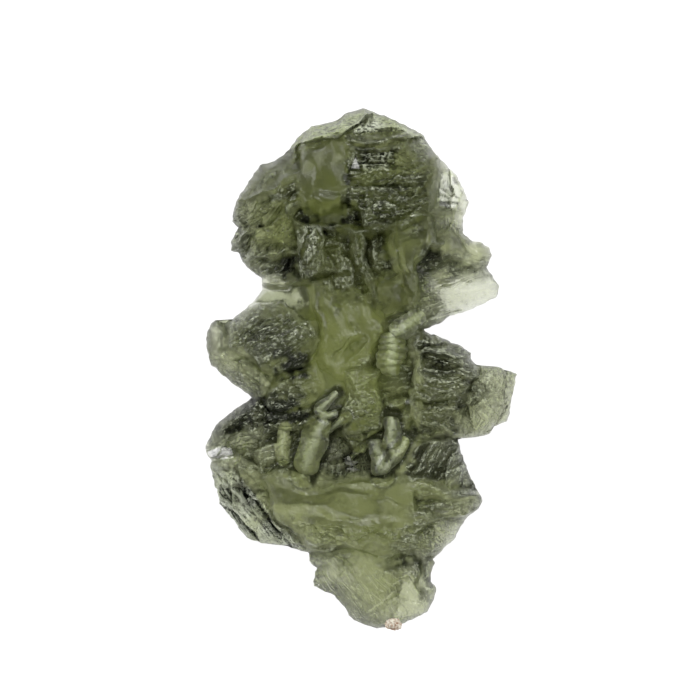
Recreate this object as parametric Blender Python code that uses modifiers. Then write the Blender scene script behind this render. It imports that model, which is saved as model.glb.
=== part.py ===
"""A sculpted moldavite lying on its back: natural green glass, etched into ledges, bars and hollows.

The stone is one solid. Its outline, seen from above, is a flat curve given a little thickness. Each
point of that slab is then carried to one of two height fields: the shown side on top, and the side that
the stone lies on below. The two fields meet in a thin rim along the outline. A small flat spot under
the centre of mass touches the ground at Z = 0.

+X is right and +Y is up in a view from above. Lengths are in millimetres until a mesh is finished.
"""
import math

import bmesh
import bpy
import numpy as np
from mathutils import Vector
from mathutils.bvhtree import BVHTree

MM = 0.001

# Driving dimensions, in millimetres
RIM_LEVEL = 3.6          # height at which the two sides meet, half way along the stone
RIM_SLOPE = 0.07         # the rim rises towards the head
FRONT_SHOULDER = 1.1     # width over which the shown side turns down to the rim
BACK_SHOULDER = 3.4      # the same for the underside
RIM_SHARE = 0.08         # share of a side's height that the rim itself stands
THINNEST = 0.25          # least thickness of glass anywhere
BACK_LEVEL = 0.95        # height of the underside, away from its hollows
LEAST_CLEAR = 0.35       # what is not the flat spot stays at least this far off the ground
FLAT_AT = (-0.1, 2.3)    # middle of the flat spot, under the centre of mass
FLAT_RADII = (4.2, 5.2)  # the belly that the flat spot is worn on
FLAT_DEPTH = 1.25        # how far that belly would reach without the flat spot
CRUMB_AT = (1.85, -15.15)
CRUMB_RADII = (0.52, 0.36, 0.3)
CRUMB_CLEAR = 0.12       # gap between the crumb and the glass under it

SLAB = 1.2               # thickness of the slab before it is shaped
GRAIN_OF_SLAB = 0.3      # spacing of its points
GRAIN_OF_STONE = 0.27    # spacing of the points once the ledges stand
STONE_TRIANGLES = 9300

# The outline anticlockwise from the top: head, left waist, knob, left flank, tail, right flank, arm, wing
OUTLINE = [
    (0.25, 15.85), (-0.85, 15.62), (-1.6, 15.12), (-3.05, 14.78), (-3.95, 14.1), (-4.4, 13.35),
    (-5.45, 12.65), (-6.15, 12.5), (-6.85, 11.35), (-7.55, 10.4), (-7.78, 9.75), (-7.82, 9.1),
    (-7.45, 8.75), (-7.85, 7.8), (-7.85, 7.35), (-7.4, 7.2), (-7.05, 6.45), (-6.05, 5.7),
    (-6.0, 5.0), (-6.15, 4.75), (-7.0, 3.9), (-7.75, 3.25), (-8.3, 2.93), (-8.8, 3.22),
    (-9.1, 3.0), (-9.35, 2.4), (-9.4, 1.5), (-9.1, 0.5), (-8.05, -0.45), (-6.6, -1.5),
    (-7.4, -2.05), (-8.1, -2.5), (-8.8, -3.1), (-9.5, -4.4), (-9.4, -4.95), (-9.15, -5.2),
    (-9.2, -5.7), (-8.8, -7.2), (-8.6, -8.0), (-7.9, -8.75), (-7.3, -9.65), (-6.95, -10.0),
    (-6.2, -10.3), (-4.85, -10.45), (-3.2, -10.9), (-3.2, -11.4), (-2.75, -11.8), (-2.95, -12.7),
    (-2.9, -12.95), (-1.7, -13.5), (-1.1, -14.15), (-0.8, -14.7), (-0.45, -15.05), (0.1, -15.25),
    (0.9, -15.5), (1.6, -15.45), (2.4, -15.3), (4.0, -14.5), (4.3, -13.9), (4.52, -13.1),
    (4.15, -12.6), (4.2, -12.1), (4.45, -11.5), (4.3, -11.3), (5.65, -10.0), (6.2, -8.9),
    (7.0, -8.25), (7.35, -7.75), (7.0, -7.1), (6.5, -6.2), (5.95, -4.6), (5.8, -4.0),
    (7.2, -3.85), (7.7, -3.7), (8.0, -3.25), (8.7, -2.95), (8.95, -2.45), (9.05, -1.5),
    (9.35, -0.1), (9.1, 0.1), (8.6, 0.15), (8.4, 0.35), (7.0, 0.45), (6.55, 0.85),
    (6.6, 1.2), (6.0, 1.6), (5.0, 2.05), (3.65, 2.55), (4.9, 3.1), (5.3, 3.4),
    (6.6, 3.8), (8.1, 4.6), (8.3, 5.2), (7.5, 6.35), (7.82, 7.1), (7.6, 7.55),
    (7.2, 7.85), (6.5, 8.0), (6.1, 8.4), (6.1, 9.4), (6.48, 10.2), (5.9, 11.5),
    (5.4, 12.2), (4.35, 13.2), (3.6, 14.35), (2.0, 15.15), (0.8, 15.6),
]


# Ways of shaping a height field

def nearest(x, y, path):
    """Distance from each point to a line of points, and how far along it the nearest place is, 0 to 1."""
    path = np.asarray(path, float)
    legs = np.hypot(*np.diff(path, axis=0).T)
    before = np.concatenate([[0.0], np.cumsum(legs)])
    best = np.full(np.shape(x), np.inf)
    share = np.zeros(np.shape(x))
    for (ax, ay), (bx, by), leg, walked in zip(path[:-1], path[1:], legs, before):
        t = np.clip(((x - ax) * (bx - ax) + (y - ay) * (by - ay)) / leg**2, 0, 1)
        away = np.hypot(x - ax - t * (bx - ax), y - ay - t * (by - ay))
        closer = away < best
        best = np.where(closer, away, best)
        share = np.where(closer, (walked + t * leg) / before[-1], share)
    return best, share


def depth_inside(x, y, outline):
    """Distance from each point to a closed outline, positive inside it and negative outside."""
    ring = list(outline) + [outline[0]]
    away = nearest(x, y, ring)[0]
    inside = np.zeros(np.shape(x), bool)
    for (ax, ay), (bx, by) in zip(ring[:-1], ring[1:]):
        if ay != by:
            inside ^= ((ay > y) != (by > y)) & (x < (bx - ax) * (y - ay) / (by - ay) + ax)
    return np.where(inside, away, -away)


def ease(t):
    """A smooth step from 0 at t = 0 to 1 at t = 1."""
    t = np.clip(t, 0, 1)
    return t * t * (3 - 2 * t)


def swell(x, y, longest, shortest, seed, count=9):
    """An irregular smooth swell, about -1 to 1: plane waves of many lengths in random directions."""
    rng = np.random.default_rng(seed)
    lengths = np.geomspace(longest, shortest, count)
    total = np.zeros(np.shape(x))
    for length in lengths:
        turn, phase = rng.uniform(0, 2 * np.pi, 2)
        total += length * np.sin(2 * np.pi * (x * np.cos(turn) + y * np.sin(turn)) / length + phase)
    return total / (0.55 * lengths.sum())


def turned(x, y, at, radii, turn):
    """Coordinates in an ellipse's own frame, where its edge is at distance 1."""
    a = math.radians(turn)
    u = ((x - at[0]) * math.cos(a) + (y - at[1]) * math.sin(a)) / radii[0]
    v = ((y - at[1]) * math.cos(a) - (x - at[0]) * math.sin(a)) / radii[1]
    return u, v


class Relief:
    """A height field over the points (x, y), shaped by one form after another."""

    BEND = 0.22          # how far edges wander from the lines that they are drawn on
    LONGEST, SHORTEST = 3.5, 0.9

    def __init__(self, x, y, level):
        self.x = x + self.BEND * swell(x, y, self.LONGEST, self.SHORTEST, seed=1)
        self.y = y + self.BEND * swell(x, y, self.LONGEST, self.SHORTEST, seed=2)
        self.z = np.full(np.shape(x), float(level))

    def plate(self, outline, level, tilt=(0, 0), dome=0.0, edge=0.4, reach=1.5):
        """A face laid over what is there: level at its middle, tilted, and domed over its edges."""
        depth = depth_inside(self.x, self.y, outline)
        cx, cy = np.mean(outline, axis=0)
        face = level + tilt[0] * (self.x - cx) + tilt[1] * (self.y - cy)
        face = face + dome * (1 - np.clip(1 - depth / reach, 0, 1) ** 2)
        cover = ease(depth / edge + 0.5)
        self.z = self.z * (1 - cover) + face * cover

    def bar(self, path, radii, levels, rings=0.0, pitch=0.3):
        """A round bar along a path. Its radius and its top follow the two lists, and rings may wrap it."""
        away, share = nearest(self.x, self.y, path)
        radius = np.interp(share, np.linspace(0, 1, len(radii)), radii)
        top = np.interp(share, np.linspace(0, 1, len(levels)), levels)
        length = np.hypot(*np.diff(np.asarray(path, float), axis=0).T).sum()
        radius = radius * (1 + rings * np.cos(2 * np.pi * share * length / pitch))
        round_top = top - radius + np.sqrt(np.clip(radius**2 - away**2, 0, None))
        self.z = np.where(away < radius, np.maximum(self.z, round_top), self.z)

    def lump(self, at, radii, height, turn=0.0):
        """A rounded lump, or a dent where height is negative."""
        u, v = turned(self.x, self.y, at, radii, turn)
        self.z = self.z + height * np.clip(1 - u * u - v * v, 0, None)

    def crease(self, path, width, height):
        """A ridge along a path, or a groove where height is negative, which fades at its ends."""
        away, share = nearest(self.x, self.y, path)
        fade = np.clip(6 * share, 0.3, 1) * np.clip(6 * (1 - share), 0.3, 1)
        self.z = self.z + height * fade * np.exp(-((away / width) ** 2))

    def shards(self, outline, size, stretch, turn, step, lean, seed, edge=0.5):
        """Broken scales: the points nearest one random centre are one small tilted face of their own."""
        depth = depth_inside(self.x, self.y, outline)
        here = depth > 0
        x, y = self.x[here], self.y[here]
        rng = np.random.default_rng(seed)
        low, high = np.min(outline, axis=0) - size, np.max(outline, axis=0) + size
        middle, reach = (low + high) / 2, np.hypot(*(high - low))
        best = np.full(x.shape, np.inf)
        face = np.zeros(x.shape)
        a = math.radians(turn)
        for along in np.arange(-reach, reach, size * stretch):
            for across in np.arange(-reach, reach, size):
                shift = rng.uniform(-0.4, 0.4, 2)
                level, tilt, side = rng.uniform((-1, 0.4, -0.5), (1, 1.3, 0.5))
                u, v = along + shift[0] * size * stretch, across + shift[1] * size
                at = middle + (u * math.cos(a) - v * math.sin(a), u * math.sin(a) + v * math.cos(a))
                if np.any(at < low) or np.any(at > high):
                    continue
                p, q = turned(x, y, at, (stretch, 1), turn)
                away = np.hypot(p, q)
                face = np.where(away < best, step * level + lean * (tilt * q + side * p), face)
                best = np.minimum(best, away)
        self.z[here] += face * ease(depth[here] / edge)


# The shown side, region by region

def lay_body(r):
    """The column of the body, between the head and the bars, and the thin sheet left of it."""
    r.plate([(-6.3, 5.9), (-3.1, 5.8), (-2.9, 3.0), (-4, 3.3), (-6.2, 3.9), (-7.2, 3.8)],
            level=4.9, tilt=(0.1, 0.05), dome=0.1)
    r.plate([(-3.0, 5.4), (-0.5, 6.3), (0.6, 4.6), (1.5, 3.4), (1.4, 2.2), (0.5, 1.0), (0.3, -0.5),
             (-0.9, -0.4), (-1.8, -0.2), (-2.6, 1.0), (-2.5, 2.2), (-3.1, 3.2)],
            level=6.1, tilt=(0.05, 0.06), dome=0.35, edge=0.5, reach=1.0)
    r.lump((-0.75, 1.45), (1.35, 0.5), height=-0.55, turn=50)
    r.crease([(-1.5, 0.5), (-0.9, 1.6), (-0.1, 2.5)], width=0.14, height=0.25)
    r.lump((2.2, 0.2), (1.6, 1.5), height=0.5)
    r.crease([(-2.75, 4.8), (-2.85, 3.6), (-2.45, 2.6), (-2.3, 1.5)], width=0.18, height=0.3)


def lay_head(r):
    """The head's dome, its slope up the left shoulder and the scallops along its top."""
    r.plate([(-9, 17), (-9, 6.3), (-6.2, 5.5), (-4.6, 5.0), (-3.2, 5.4), (-2.4, 5.9), (-0.6, 6.2),
             (0.2, 5.2), (0.9, 4.1), (3.2, 4.0), (3.6, 6.6), (5.2, 6.6), (7.2, 6.5), (9, 6.4), (9, 17)],
            level=7.2, tilt=(0, -0.02), dome=0.4, edge=0.6)
    r.lump((-0.8, 10.6), (6.8, 5.4), height=1.3)
    r.plate([(-8.5, 10.1), (-7.0, 10.2), (-5.7, 11.0), (-4.6, 12.0), (-3.7, 12.2), (-3.6, 13.2),
             (-3.2, 14.3), (-4, 15.5), (-8, 13)], level=6.6, tilt=(0.5, -0.5), dome=0.1, edge=0.5)
    r.lump((-2.1, 14.6), (1.3, 0.7), height=-0.6, turn=20)
    r.lump((-0.4, 14.8), (0.9, 0.6), height=-0.5, turn=50)
    r.lump((0.6, 14.7), (0.8, 0.5), height=-0.4, turn=20)
    r.lump((1.8, 14.3), (0.9, 0.45), height=-0.8, turn=-10)


def lay_right_of_head(r):
    """The block with its recess and lower plate, and the thin window and the fall right of it."""
    r.plate([(-1.0, 13.7), (1, 13.6), (2.6, 13.9), (3.9, 13.1), (4.25, 9.4), (3.9, 8.9), (2.9, 8.6),
             (0.3, 8.4), (-0.2, 9.0), (-1.0, 9.6)], level=8.1, tilt=(-0.15, 0), dome=0.2, reach=0.8)
    r.plate([(-0.6, 12.05), (-0.35, 13.15), (2.0, 13.15), (2.0, 12.05)], level=7.6, tilt=(-0.1, 0.2))
    r.plate([(0.2, 8.45), (0.2, 9.9), (1.5, 10.05), (2.6, 9.8), (3.9, 9.1), (3.0, 8.7)],
            level=8.5, tilt=(-0.15, -0.1), dome=0.1)
    r.plate([(4.35, 9.5), (4.45, 12.4), (4.9, 13.2), (7.2, 11), (7.0, 9.2), (6.0, 9.5)],
            level=5.5, tilt=(-0.25, 0), edge=0.5)
    r.plate([(4.25, 9.3), (6.0, 9.6), (6.8, 9.4), (6.2, 8.5), (7.1, 8.2), (8, 8), (8, 6.6), (7.1, 6.65),
             (5.8, 6.65), (4.95, 7.0), (4.8, 7.9), (4.25, 8.1)],
            level=6.3, tilt=(-0.42, 0.1), dome=0.2, reach=0.6)
    r.lump((7.3, 7.2), (0.9, 0.9), height=0.3)


def lay_left_of_head(r):
    """The broken plates down the left of the head, each tilted its own way."""
    r.plate([(-8.4, 10.2), (-7, 10.3), (-5.6, 10.7), (-4.6, 9.9), (-3.9, 8.9), (-3.8, 6.9), (-6, 5.6),
             (-8.4, 6.3)], level=6.7, tilt=(0.25, 0))
    r.plate([(-7.8, 9.7), (-6.9, 8.4), (-6.2, 8.4), (-5.2, 9.6), (-5.6, 10.5), (-7.1, 10.3)],
            level=6.2, tilt=(0.1, 0.25), edge=0.3)
    r.plate([(-6.25, 8.45), (-5.9, 8.55), (-4.6, 9.75), (-4.85, 10.05), (-5.4, 9.7)],
            level=5.6, tilt=(0.2, 0), edge=0.25)
    r.plate([(-6.4, 8.25), (-5.9, 8.45), (-4.6, 9.6), (-4.0, 9.0), (-3.9, 7.1), (-6.3, 7.05)],
            level=7.0, tilt=(0.1, 0.1), dome=0.1, edge=0.3)
    r.lump((-5.4, 7.6), (0.75, 0.4), height=-0.7, turn=-5)
    r.plate([(-8.1, 7.3), (-7.0, 8.35), (-6.4, 8.2), (-7.0, 6.9)], level=5.5, tilt=(0.3, 0.1), edge=0.25)
    r.plate([(-7.3, 6.3), (-6.4, 7.0), (-3.7, 7.0), (-3.4, 5.6), (-4.6, 5.1), (-6.1, 5.5)],
            level=5.8, tilt=(0.15, 0.3))
    r.crease([(-4.7, 9.75), (-3.6, 10.5)], width=0.16, height=-0.5)


def lay_middle_of_head(r):
    """The smooth window with its lip, and under it the drop, the loop, the groove and the tongue."""
    r.plate([(-4.0, 9.3), (-3, 10.1), (-1.0, 10.3), (0, 9.7), (0.2, 8.6), (-1.5, 8.6), (-3.5, 8.9)], level=7.0)
    r.plate([(-3.6, 13.3), (-2.8, 13.7), (-1.15, 13.7), (-0.95, 12), (-0.95, 10.9), (-1.3, 10.2),
             (-2.2, 9.8), (-3.0, 10.0), (-3.4, 10.8), (-3.7, 12)],
            level=8.9, tilt=(0, -0.05), dome=0.35, reach=0.9)
    r.plate([(-3.9, 8.9), (-2.6, 8.8), (-2.3, 7.6), (-2.4, 6.0), (-3.1, 5.5), (-3.75, 6.5)],
            level=7.8, tilt=(0, 0.05), dome=0.4, reach=0.7)
    r.plate([(-2.3, 8.6), (-0.6, 8.4), (-0.6, 6.3), (-2.4, 6.0)], level=7.2, tilt=(0, 0.1), dome=0.1, edge=0.5)
    r.lump((-1.7, 7.45), (0.8, 0.42), height=0.45, turn=8)
    r.lump((-1.65, 7.4), (0.5, 0.2), height=-0.7, turn=8)
    r.plate([(0.0, 8.3), (1.8, 8.3), (1.9, 6.5), (3.1, 4.0), (1.1, 4.0), (0.9, 5.3), (0.1, 6.8)],
            level=6.5, tilt=(0, 0.1), edge=0.5)
    r.lump((0.85, 7.2), (0.6, 1.1), height=0.6, turn=10)
    r.lump((2.1, 5.0), (1.0, 1.0), height=0.8)
    r.plate([(1.9, 8.5), (3.9, 8.9), (3.3, 7.0), (3.0, 5.9), (2.6, 5.7), (2.1, 6.6)],
            level=7.5, tilt=(-0.1, 0.15), dome=0.3, reach=0.6)
    r.crease([(0.2, 4.05), (1.6, 3.65), (3.3, 3.95)], width=0.25, height=-0.8)


def lay_wing(r):
    """The thin wedge that stands out right of the head."""
    r.plate([(3.4, 2.4), (3.3, 6.4), (3.8, 7.8), (4.8, 7.8), (4.95, 6.85), (7.1, 6.5), (9, 5.6),
             (8.6, 4.2), (7, 3.6), (5, 2.8)], level=4.9, tilt=(-0.16, 0.12))
    r.crease([(6.9, 6.5), (7.7, 5.9), (8.3, 5.1)], width=0.25, height=0.5)
    r.crease([(3.6, 3.4), (4.9, 3.75), (6.2, 4.0)], width=0.16, height=-0.55)
    r.lump((5.0, 5.4), (0.9, 0.8), height=0.35)


def lay_left_lobe(r):
    """The banded lump on the left, with the clear knob, the fan and the wedge round it."""
    r.plate([(-10, 3.6), (-7.9, 3.6), (-7.8, 1.4), (-8.9, 0.4), (-10, 0.4)], level=4.9, tilt=(0.1, 0), dome=0.3)
    r.lump((-8.75, 1.9), (0.5, 0.9), height=-0.5)
    r.plate([(-8.1, 1.5), (-6.7, 0.8), (-6.0, 0.1), (-5.5, -0.8), (-5.9, -1.5), (-6.7, -1.9),
             (-8.6, -0.6), (-9.2, 0.5)], level=5.3, tilt=(0.35, 0.2))
    r.plate([(-7.9, 3.4), (-7.0, 4.0), (-6.2, 4.15), (-5.0, 4.15), (-4.2, 3.85), (-3.8, 3.3), (-3.0, 2.95),
             (-2.5, 2.1), (-2.9, 1.4), (-3.3, 0.9), (-3.7, 0.3), (-5.0, 0.2), (-5.9, 0.3), (-6.7, 0.75),
             (-7.5, 1.0), (-8.0, 1.6), (-8.0, 2.5)], level=6.8, tilt=(0.05, 0), dome=1.2, reach=2.0)
    r.lump((-3.5, 2.1), (0.8, 1.0), height=0.35, turn=-30)
    r.plate([(-5.7, -1.9), (-5.2, -2.35), (-3.0, -1.6), (-2.4, -0.6), (-2.6, 0.8), (-3.7, 0.2), (-5.1, 0.1),
             (-5.5, -0.9)], level=5.8, tilt=(0.1, -0.25), dome=0.1)
    r.lump((-3.25, -0.65), (0.65, 0.7), height=0.6)


def lay_arm(r):
    """The grooved block right of the body, and the thin arm beyond it."""
    r.plate([(3.1, 2.7), (3.65, 2.6), (5, 2.2), (6.7, 1.4), (6.9, 0.7), (7.0, 0.3), (6.9, -0.3), (6.0, -1.4),
             (3.8, -1.9), (3.1, -1.9), (3.0, 0.6), (2.8, 1.9)],
            level=6.3, tilt=(-0.12, -0.1), dome=0.3, reach=0.8)
    r.crease([(3.1, 1.6), (5, 1.5), (6.2, 1.3)], width=0.16, height=-0.6)
    r.crease([(2.9, 1.3), (4.5, 1.2), (6.3, 1.05)], width=0.14, height=0.35)
    r.plate([(3.0, -1.8), (6.1, -1.4), (5.9, -3.9), (3.9, -3.1), (3.0, -2.8)],
            level=5.7, tilt=(-0.1, 0.1), dome=0.2)
    r.plate([(6.9, 0.8), (10, 0.8), (10, -2.8), (8.7, -3.4), (7.6, -4.3), (5.8, -4.5), (5.5, -3),
             (5.8, -1.8), (6.8, -0.4)], level=5.0, tilt=(-0.15, 0), dome=0.2, edge=0.5)
    r.crease([(9.15, 0.2), (8.75, -1.2), (8.65, -2.2)], width=0.2, height=-0.4)
    r.plate([(2.9, -2.8), (4.0, -3.1), (5.7, -3.75), (5.9, -4.2), (3.7, -4.1), (2.6, -3.7)],
            level=4.3, tilt=(0, 0.3), edge=0.3)


def lay_hollow(r):
    """The dark lip, the clear gap and the rough ground left of the hollow, the hollow, and its right wall."""
    r.plate([(-10, -4.4), (-9, -3), (-6.6, -1.7), (-5.7, -1.9), (-5.2, -2.4), (-3.0, -1.8), (-2.6, -3),
             (-4, -3.4), (-5.8, -3.4), (-7.0, -2.9), (-8.2, -3.3), (-9, -4.4), (-9.2, -5.2), (-10, -5.2)],
            level=5.2, tilt=(0.05, 0.1), dome=0.3, reach=0.5)
    r.plate([(-8.9, -5.1), (-8.2, -3.5), (-7.2, -3.1), (-6.2, -3.8), (-6.3, -5.5), (-7.3, -5.2)],
            level=4.0, tilt=(0.2, 0.2))
    r.plate([(-6.2, -3.6), (-4.0, -3.3), (-3.8, -6.2), (-5.8, -6.4), (-6.3, -5.2)], level=4.7, dome=0.1)
    r.plate([(-2.7, -3.6), (-1.6, -3.0), (-0.8, -3.4), (0.8, -4.2), (1.8, -5.0), (2.2, -6.2), (-3.1, -6.6),
             (-3.0, -5.5)], level=3.4, tilt=(0, 0.1), edge=0.5)
    r.plate([(2.1, -6.1), (3.6, -4.3), (5.4, -4.05), (6.5, -3.9), (7.4, -7.1), (4.0, -6.6)],
            level=4.9, tilt=(-0.25, 0.15), dome=0.1)
    r.crease([(3.2, -4.9), (3.8, -4.1), (5.6, -4.0)], width=0.12, height=0.35)


def lay_shelf(r):
    """The broad smooth shelf below the hollow, the matt wedge at its right and the pale face under that."""
    r.plate([(-6.3, -6.3), (-4.6, -6.0), (-2.6, -6.55), (0, -6.35), (2, -6.2), (4, -6.6), (6.7, -7.2),
             (8, -7.6), (7.5, -8.6), (5, -8.7), (3.2, -9.6), (3, -10.5), (0, -10.6), (-2.5, -10.3),
             (-4, -9.9), (-5.3, -8.5), (-5.9, -7.6)],
            level=6.1, tilt=(0, 0.16), dome=0.3, edge=0.5, reach=0.8)
    r.lump((-1.0, -8.0), (4.5, 0.9), height=-0.45, turn=-4)
    r.plate([(3.1, -7.1), (3.1, -8.2), (4.3, -8.6), (7.5, -8.3), (7.5, -7.4), (5.5, -7.5)],
            level=5.2, tilt=(-0.1, -0.2), edge=0.3)
    r.plate([(3.2, -10.7), (3.35, -9.8), (4.2, -9.15), (5, -8.75), (7, -8.7), (6.5, -10), (4.5, -12)],
            level=4.4, tilt=(-0.5, 0.35))


def lay_left_flank(r):
    """The long fall from the shelf's left end down to the edge, under its flat head."""
    r.plate([(-10, -5.25), (-7.6, -5.25), (-6.7, -5.7), (-6.3, -6.3), (-5.9, -7.1), (-5.6, -7.6),
             (-5.2, -8.4), (-4.6, -9.1), (-4.0, -9.7), (-3.2, -10.2), (-2.2, -10.6), (-2.5, -11.4),
             (-10, -11.4)], level=4.4, tilt=(0.62, 0.45))
    r.plate([(-9.3, -5.3), (-7.6, -5.3), (-6.7, -5.8), (-6.3, -6.5), (-6.9, -6.8), (-8.6, -6.9)],
            level=5.2, tilt=(0.15, 0), dome=0.1)
    r.lump((-6.6, -7.2), (0.5, 0.35), height=-0.6, turn=-20)
    r.lump((-7.8, -7.4), (0.8, 0.4), height=-0.5, turn=-25)


def lay_tail(r):
    """The thin smooth tail below the shelf."""
    r.plate([(-4, -10.95), (-2.4, -10.75), (-1, -10.6), (0.8, -10.8), (3.2, -10.7), (4.4, -11.2),
             (5.2, -11.6), (5.2, -16), (-4, -16)], level=4.0, tilt=(0.12, 0.08))
    r.lump((0.6, -12.4), (2.0, 2.8), height=0.6)
    r.lump((2.6, -11.4), (1.7, 0.6), height=-0.5)
    r.crease([(3.6, -11.2), (3.65, -12.4), (3.6, -13.4)], width=0.2, height=-0.6)
    r.crease([(0.3, -14.7), (0.9, -14.2), (2.0, -13.3)], width=0.1, height=0.22)
    r.lump((4.05, -13.2), (0.5, 0.6), height=0.3)


def break_into_scales(r):
    """The etched ground between the smooth windows: small overlapping scales, leaning with their region."""
    block = [(-1.0, 13.8), (1, 13.6), (2.6, 13.9), (4.0, 13.1), (4.25, 9.4), (3.9, 8.9), (2.9, 8.4),
             (0.0, 8.2), (-1.0, 9.8)]
    left_of_head = [(-8.2, 10.3), (-6.8, 11.0), (-4.2, 12.0), (-3.6, 10.8), (-3.2, 9.5), (-3.9, 6.0),
                    (-6.2, 5.5), (-8.2, 7.4)]
    under_head = [(-3.5, 8.6), (2.0, 8.4), (1.0, 4.0), (-2.5, 5.0), (-4.0, 5.4)]
    brow = [(-9.5, 13), (-4, 15.6), (2.5, 15.4), (5, 13), (4.3, 12), (4.0, 13.4), (-1, 13.8), (-4.2, 12.5)]
    flank = [(-10, -5.3), (-6.4, -5.6), (-5.3, -8.4), (-3.2, -10.2), (-2.5, -11.2), (-10, -11)]
    left_of_hollow = [(-9.4, -4.9), (-8.6, -3.2), (-6.6, -1.6), (-2.6, -1.8), (-3.0, -6.2), (-6, -6.3),
                      (-9.2, -5.3)]
    bars = [(-0.5, 0.5), (3.0, 2.4), (3.4, -0.5), (3.2, -4.0), (0.5, -4.2), (-1.2, -1.0)]
    grooved_block = [(3.2, 2.6), (6.8, 1.2), (7.0, -0.5), (5.8, -3.8), (3.2, -4.0)]
    arm = [(6.9, 0.7), (10, 0.7), (10, -3.5), (5.9, -4.4), (5.7, -2.2)]
    right_of_hollow = [(2.2, -6.2), (3.5, -4.2), (5.6, -3.9), (7.5, -7.3), (4, -6.6)]
    under_shelf = [(-4.2, -9.0), (3.0, -9.0), (5.0, -8.6), (7.6, -8.6), (4.4, -11.3), (-3, -10.9)]
    tail = [(-4, -10.9), (4.6, -11.2), (5, -16), (-3.5, -15)]
    wing = [(3.2, 3.2), (3.4, 7.6), (7.4, 6.6), (8.8, 5.2), (7, 3.4)]
    right_edge = [(4.3, 13.3), (7.2, 11.5), (7.2, 8.0), (4.3, 8.2)]
    lobe = [(-8.1, 3.4), (-4, 4.1), (-2.5, 2.0), (-3.7, 0.2), (-6.5, -1.6), (-8.8, 0.2)]
    r.shards(block, size=0.75, stretch=2.6, turn=4, step=0.22, lean=-0.35, seed=11)
    r.shards(left_of_head, size=0.8, stretch=2.2, turn=48, step=0.3, lean=0.45, seed=12)
    r.shards(under_head, size=0.9, stretch=1.8, turn=-70, step=0.22, lean=0.3, seed=13)
    r.shards(brow, size=0.9, stretch=1.8, turn=15, step=0.2, lean=0.25, seed=14)
    r.shards(flank, size=0.9, stretch=3.0, turn=-48, step=0.2, lean=0.3, seed=15)
    r.shards(left_of_hollow, size=0.85, stretch=1.8, turn=20, step=0.28, lean=0.35, seed=16)
    r.shards(bars, size=0.7, stretch=1.8, turn=10, step=0.3, lean=0.3, seed=17)
    r.shards(grooved_block, size=0.8, stretch=2.2, turn=-15, step=0.22, lean=0.3, seed=18)
    r.shards(arm, size=0.8, stretch=1.8, turn=60, step=0.2, lean=0.25, seed=19)
    r.shards(right_of_hollow, size=1.0, stretch=1.6, turn=60, step=0.3, lean=0.35, seed=20)
    r.shards(under_shelf, size=0.75, stretch=2.0, turn=-8, step=0.2, lean=0.3, seed=21)
    r.shards(tail, size=1.1, stretch=2.2, turn=-50, step=0.14, lean=0.2, seed=22)
    r.shards(wing, size=1.1, stretch=2.0, turn=20, step=0.12, lean=0.12, seed=23)
    r.shards(right_edge, size=0.75, stretch=1.7, turn=80, step=0.22, lean=0.3, seed=24)
    r.shards(lobe, size=0.8, stretch=2.2, turn=35, step=0.14, lean=0.22, seed=25)


def lay_bars(r):
    """The round bars of glass left standing across the hollow, and the ringed rope above them."""
    r.bar([(-2.3, -2.9), (-2.8, -3.7), (-3.1, -4.7), (-3.5, -6.0)], [0.4, 0.55, 0.6, 0.5], [5.8, 6.1, 6.2, 5.6])
    r.bar([(-3.8, -3.2), (-3.9, -4.4), (-3.9, -5.6)], [0.25, 0.3, 0.2], [5.2, 5.3, 5.0])
    r.bar([(-1.3, -1.2), (-1.9, -1.9), (-2.6, -2.2), (-2.2, -2.5), (-1.4, -2.2)],
          [0.25, 0.3, 0.25], [6.2, 6.3, 6.1])
    r.bar([(-0.3, 0.3), (-0.2, -1.2), (0.2, -2.4), (0.25, -3.4)], [0.6, 0.8, 1.0, 0.85],
          [6.6, 6.7, 6.8, 6.2], rings=0.03, pitch=0.28)
    r.bar([(1.75, -2.8), (1.75, -3.6), (1.9, -4.3)], [0.35, 0.38, 0.3], [6.1, 6.1, 5.7])
    r.bar([(0.85, -3.9), (1.1, -4.8), (1.3, -5.9)], [0.35, 0.55, 0.45], [5.9, 6.0, 5.4])
    r.bar([(2.4, -3.9), (1.8, -4.7), (1.4, -5.3)], [0.3, 0.4, 0.3], [5.6, 5.9, 5.4])
    r.bar([(3.5, 3.55), (2.6, 2.95), (1.7, 2.4)], [0.4, 0.5, 0.42], [6.7, 7.0, 6.9], rings=0.08)
    r.bar([(1.85, 2.4), (1.8, 1.7), (1.6, 1.0)], [0.5, 0.65, 0.55], [6.9, 7.0, 6.6], rings=0.05, pitch=0.24)
    r.bar([(0.3, -0.5), (1.2, -0.9), (2.9, -0.7)], [0.3, 0.35, 0.3], [6.2, 6.3, 6.0])
    r.bar([(1.0, -1.9), (2.0, -2.0), (2.9, -1.7)], [0.25, 0.3, 0.25], [6.0, 6.0, 5.9])


def shown_side(x, y):
    """Height of the shown side, before it turns down to the rim."""
    r = Relief(x, y, level=5.0)
    for lay in (lay_body, lay_head, lay_right_of_head, lay_left_of_head, lay_middle_of_head, lay_wing,
                lay_left_lobe, lay_arm, lay_hollow, lay_shelf, lay_left_flank, lay_tail,
                break_into_scales, lay_bars):
        lay(r)
    return r.z + 0.12 * swell(x, y, 2.5, 0.7, seed=3)


# The side it lies on

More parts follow.
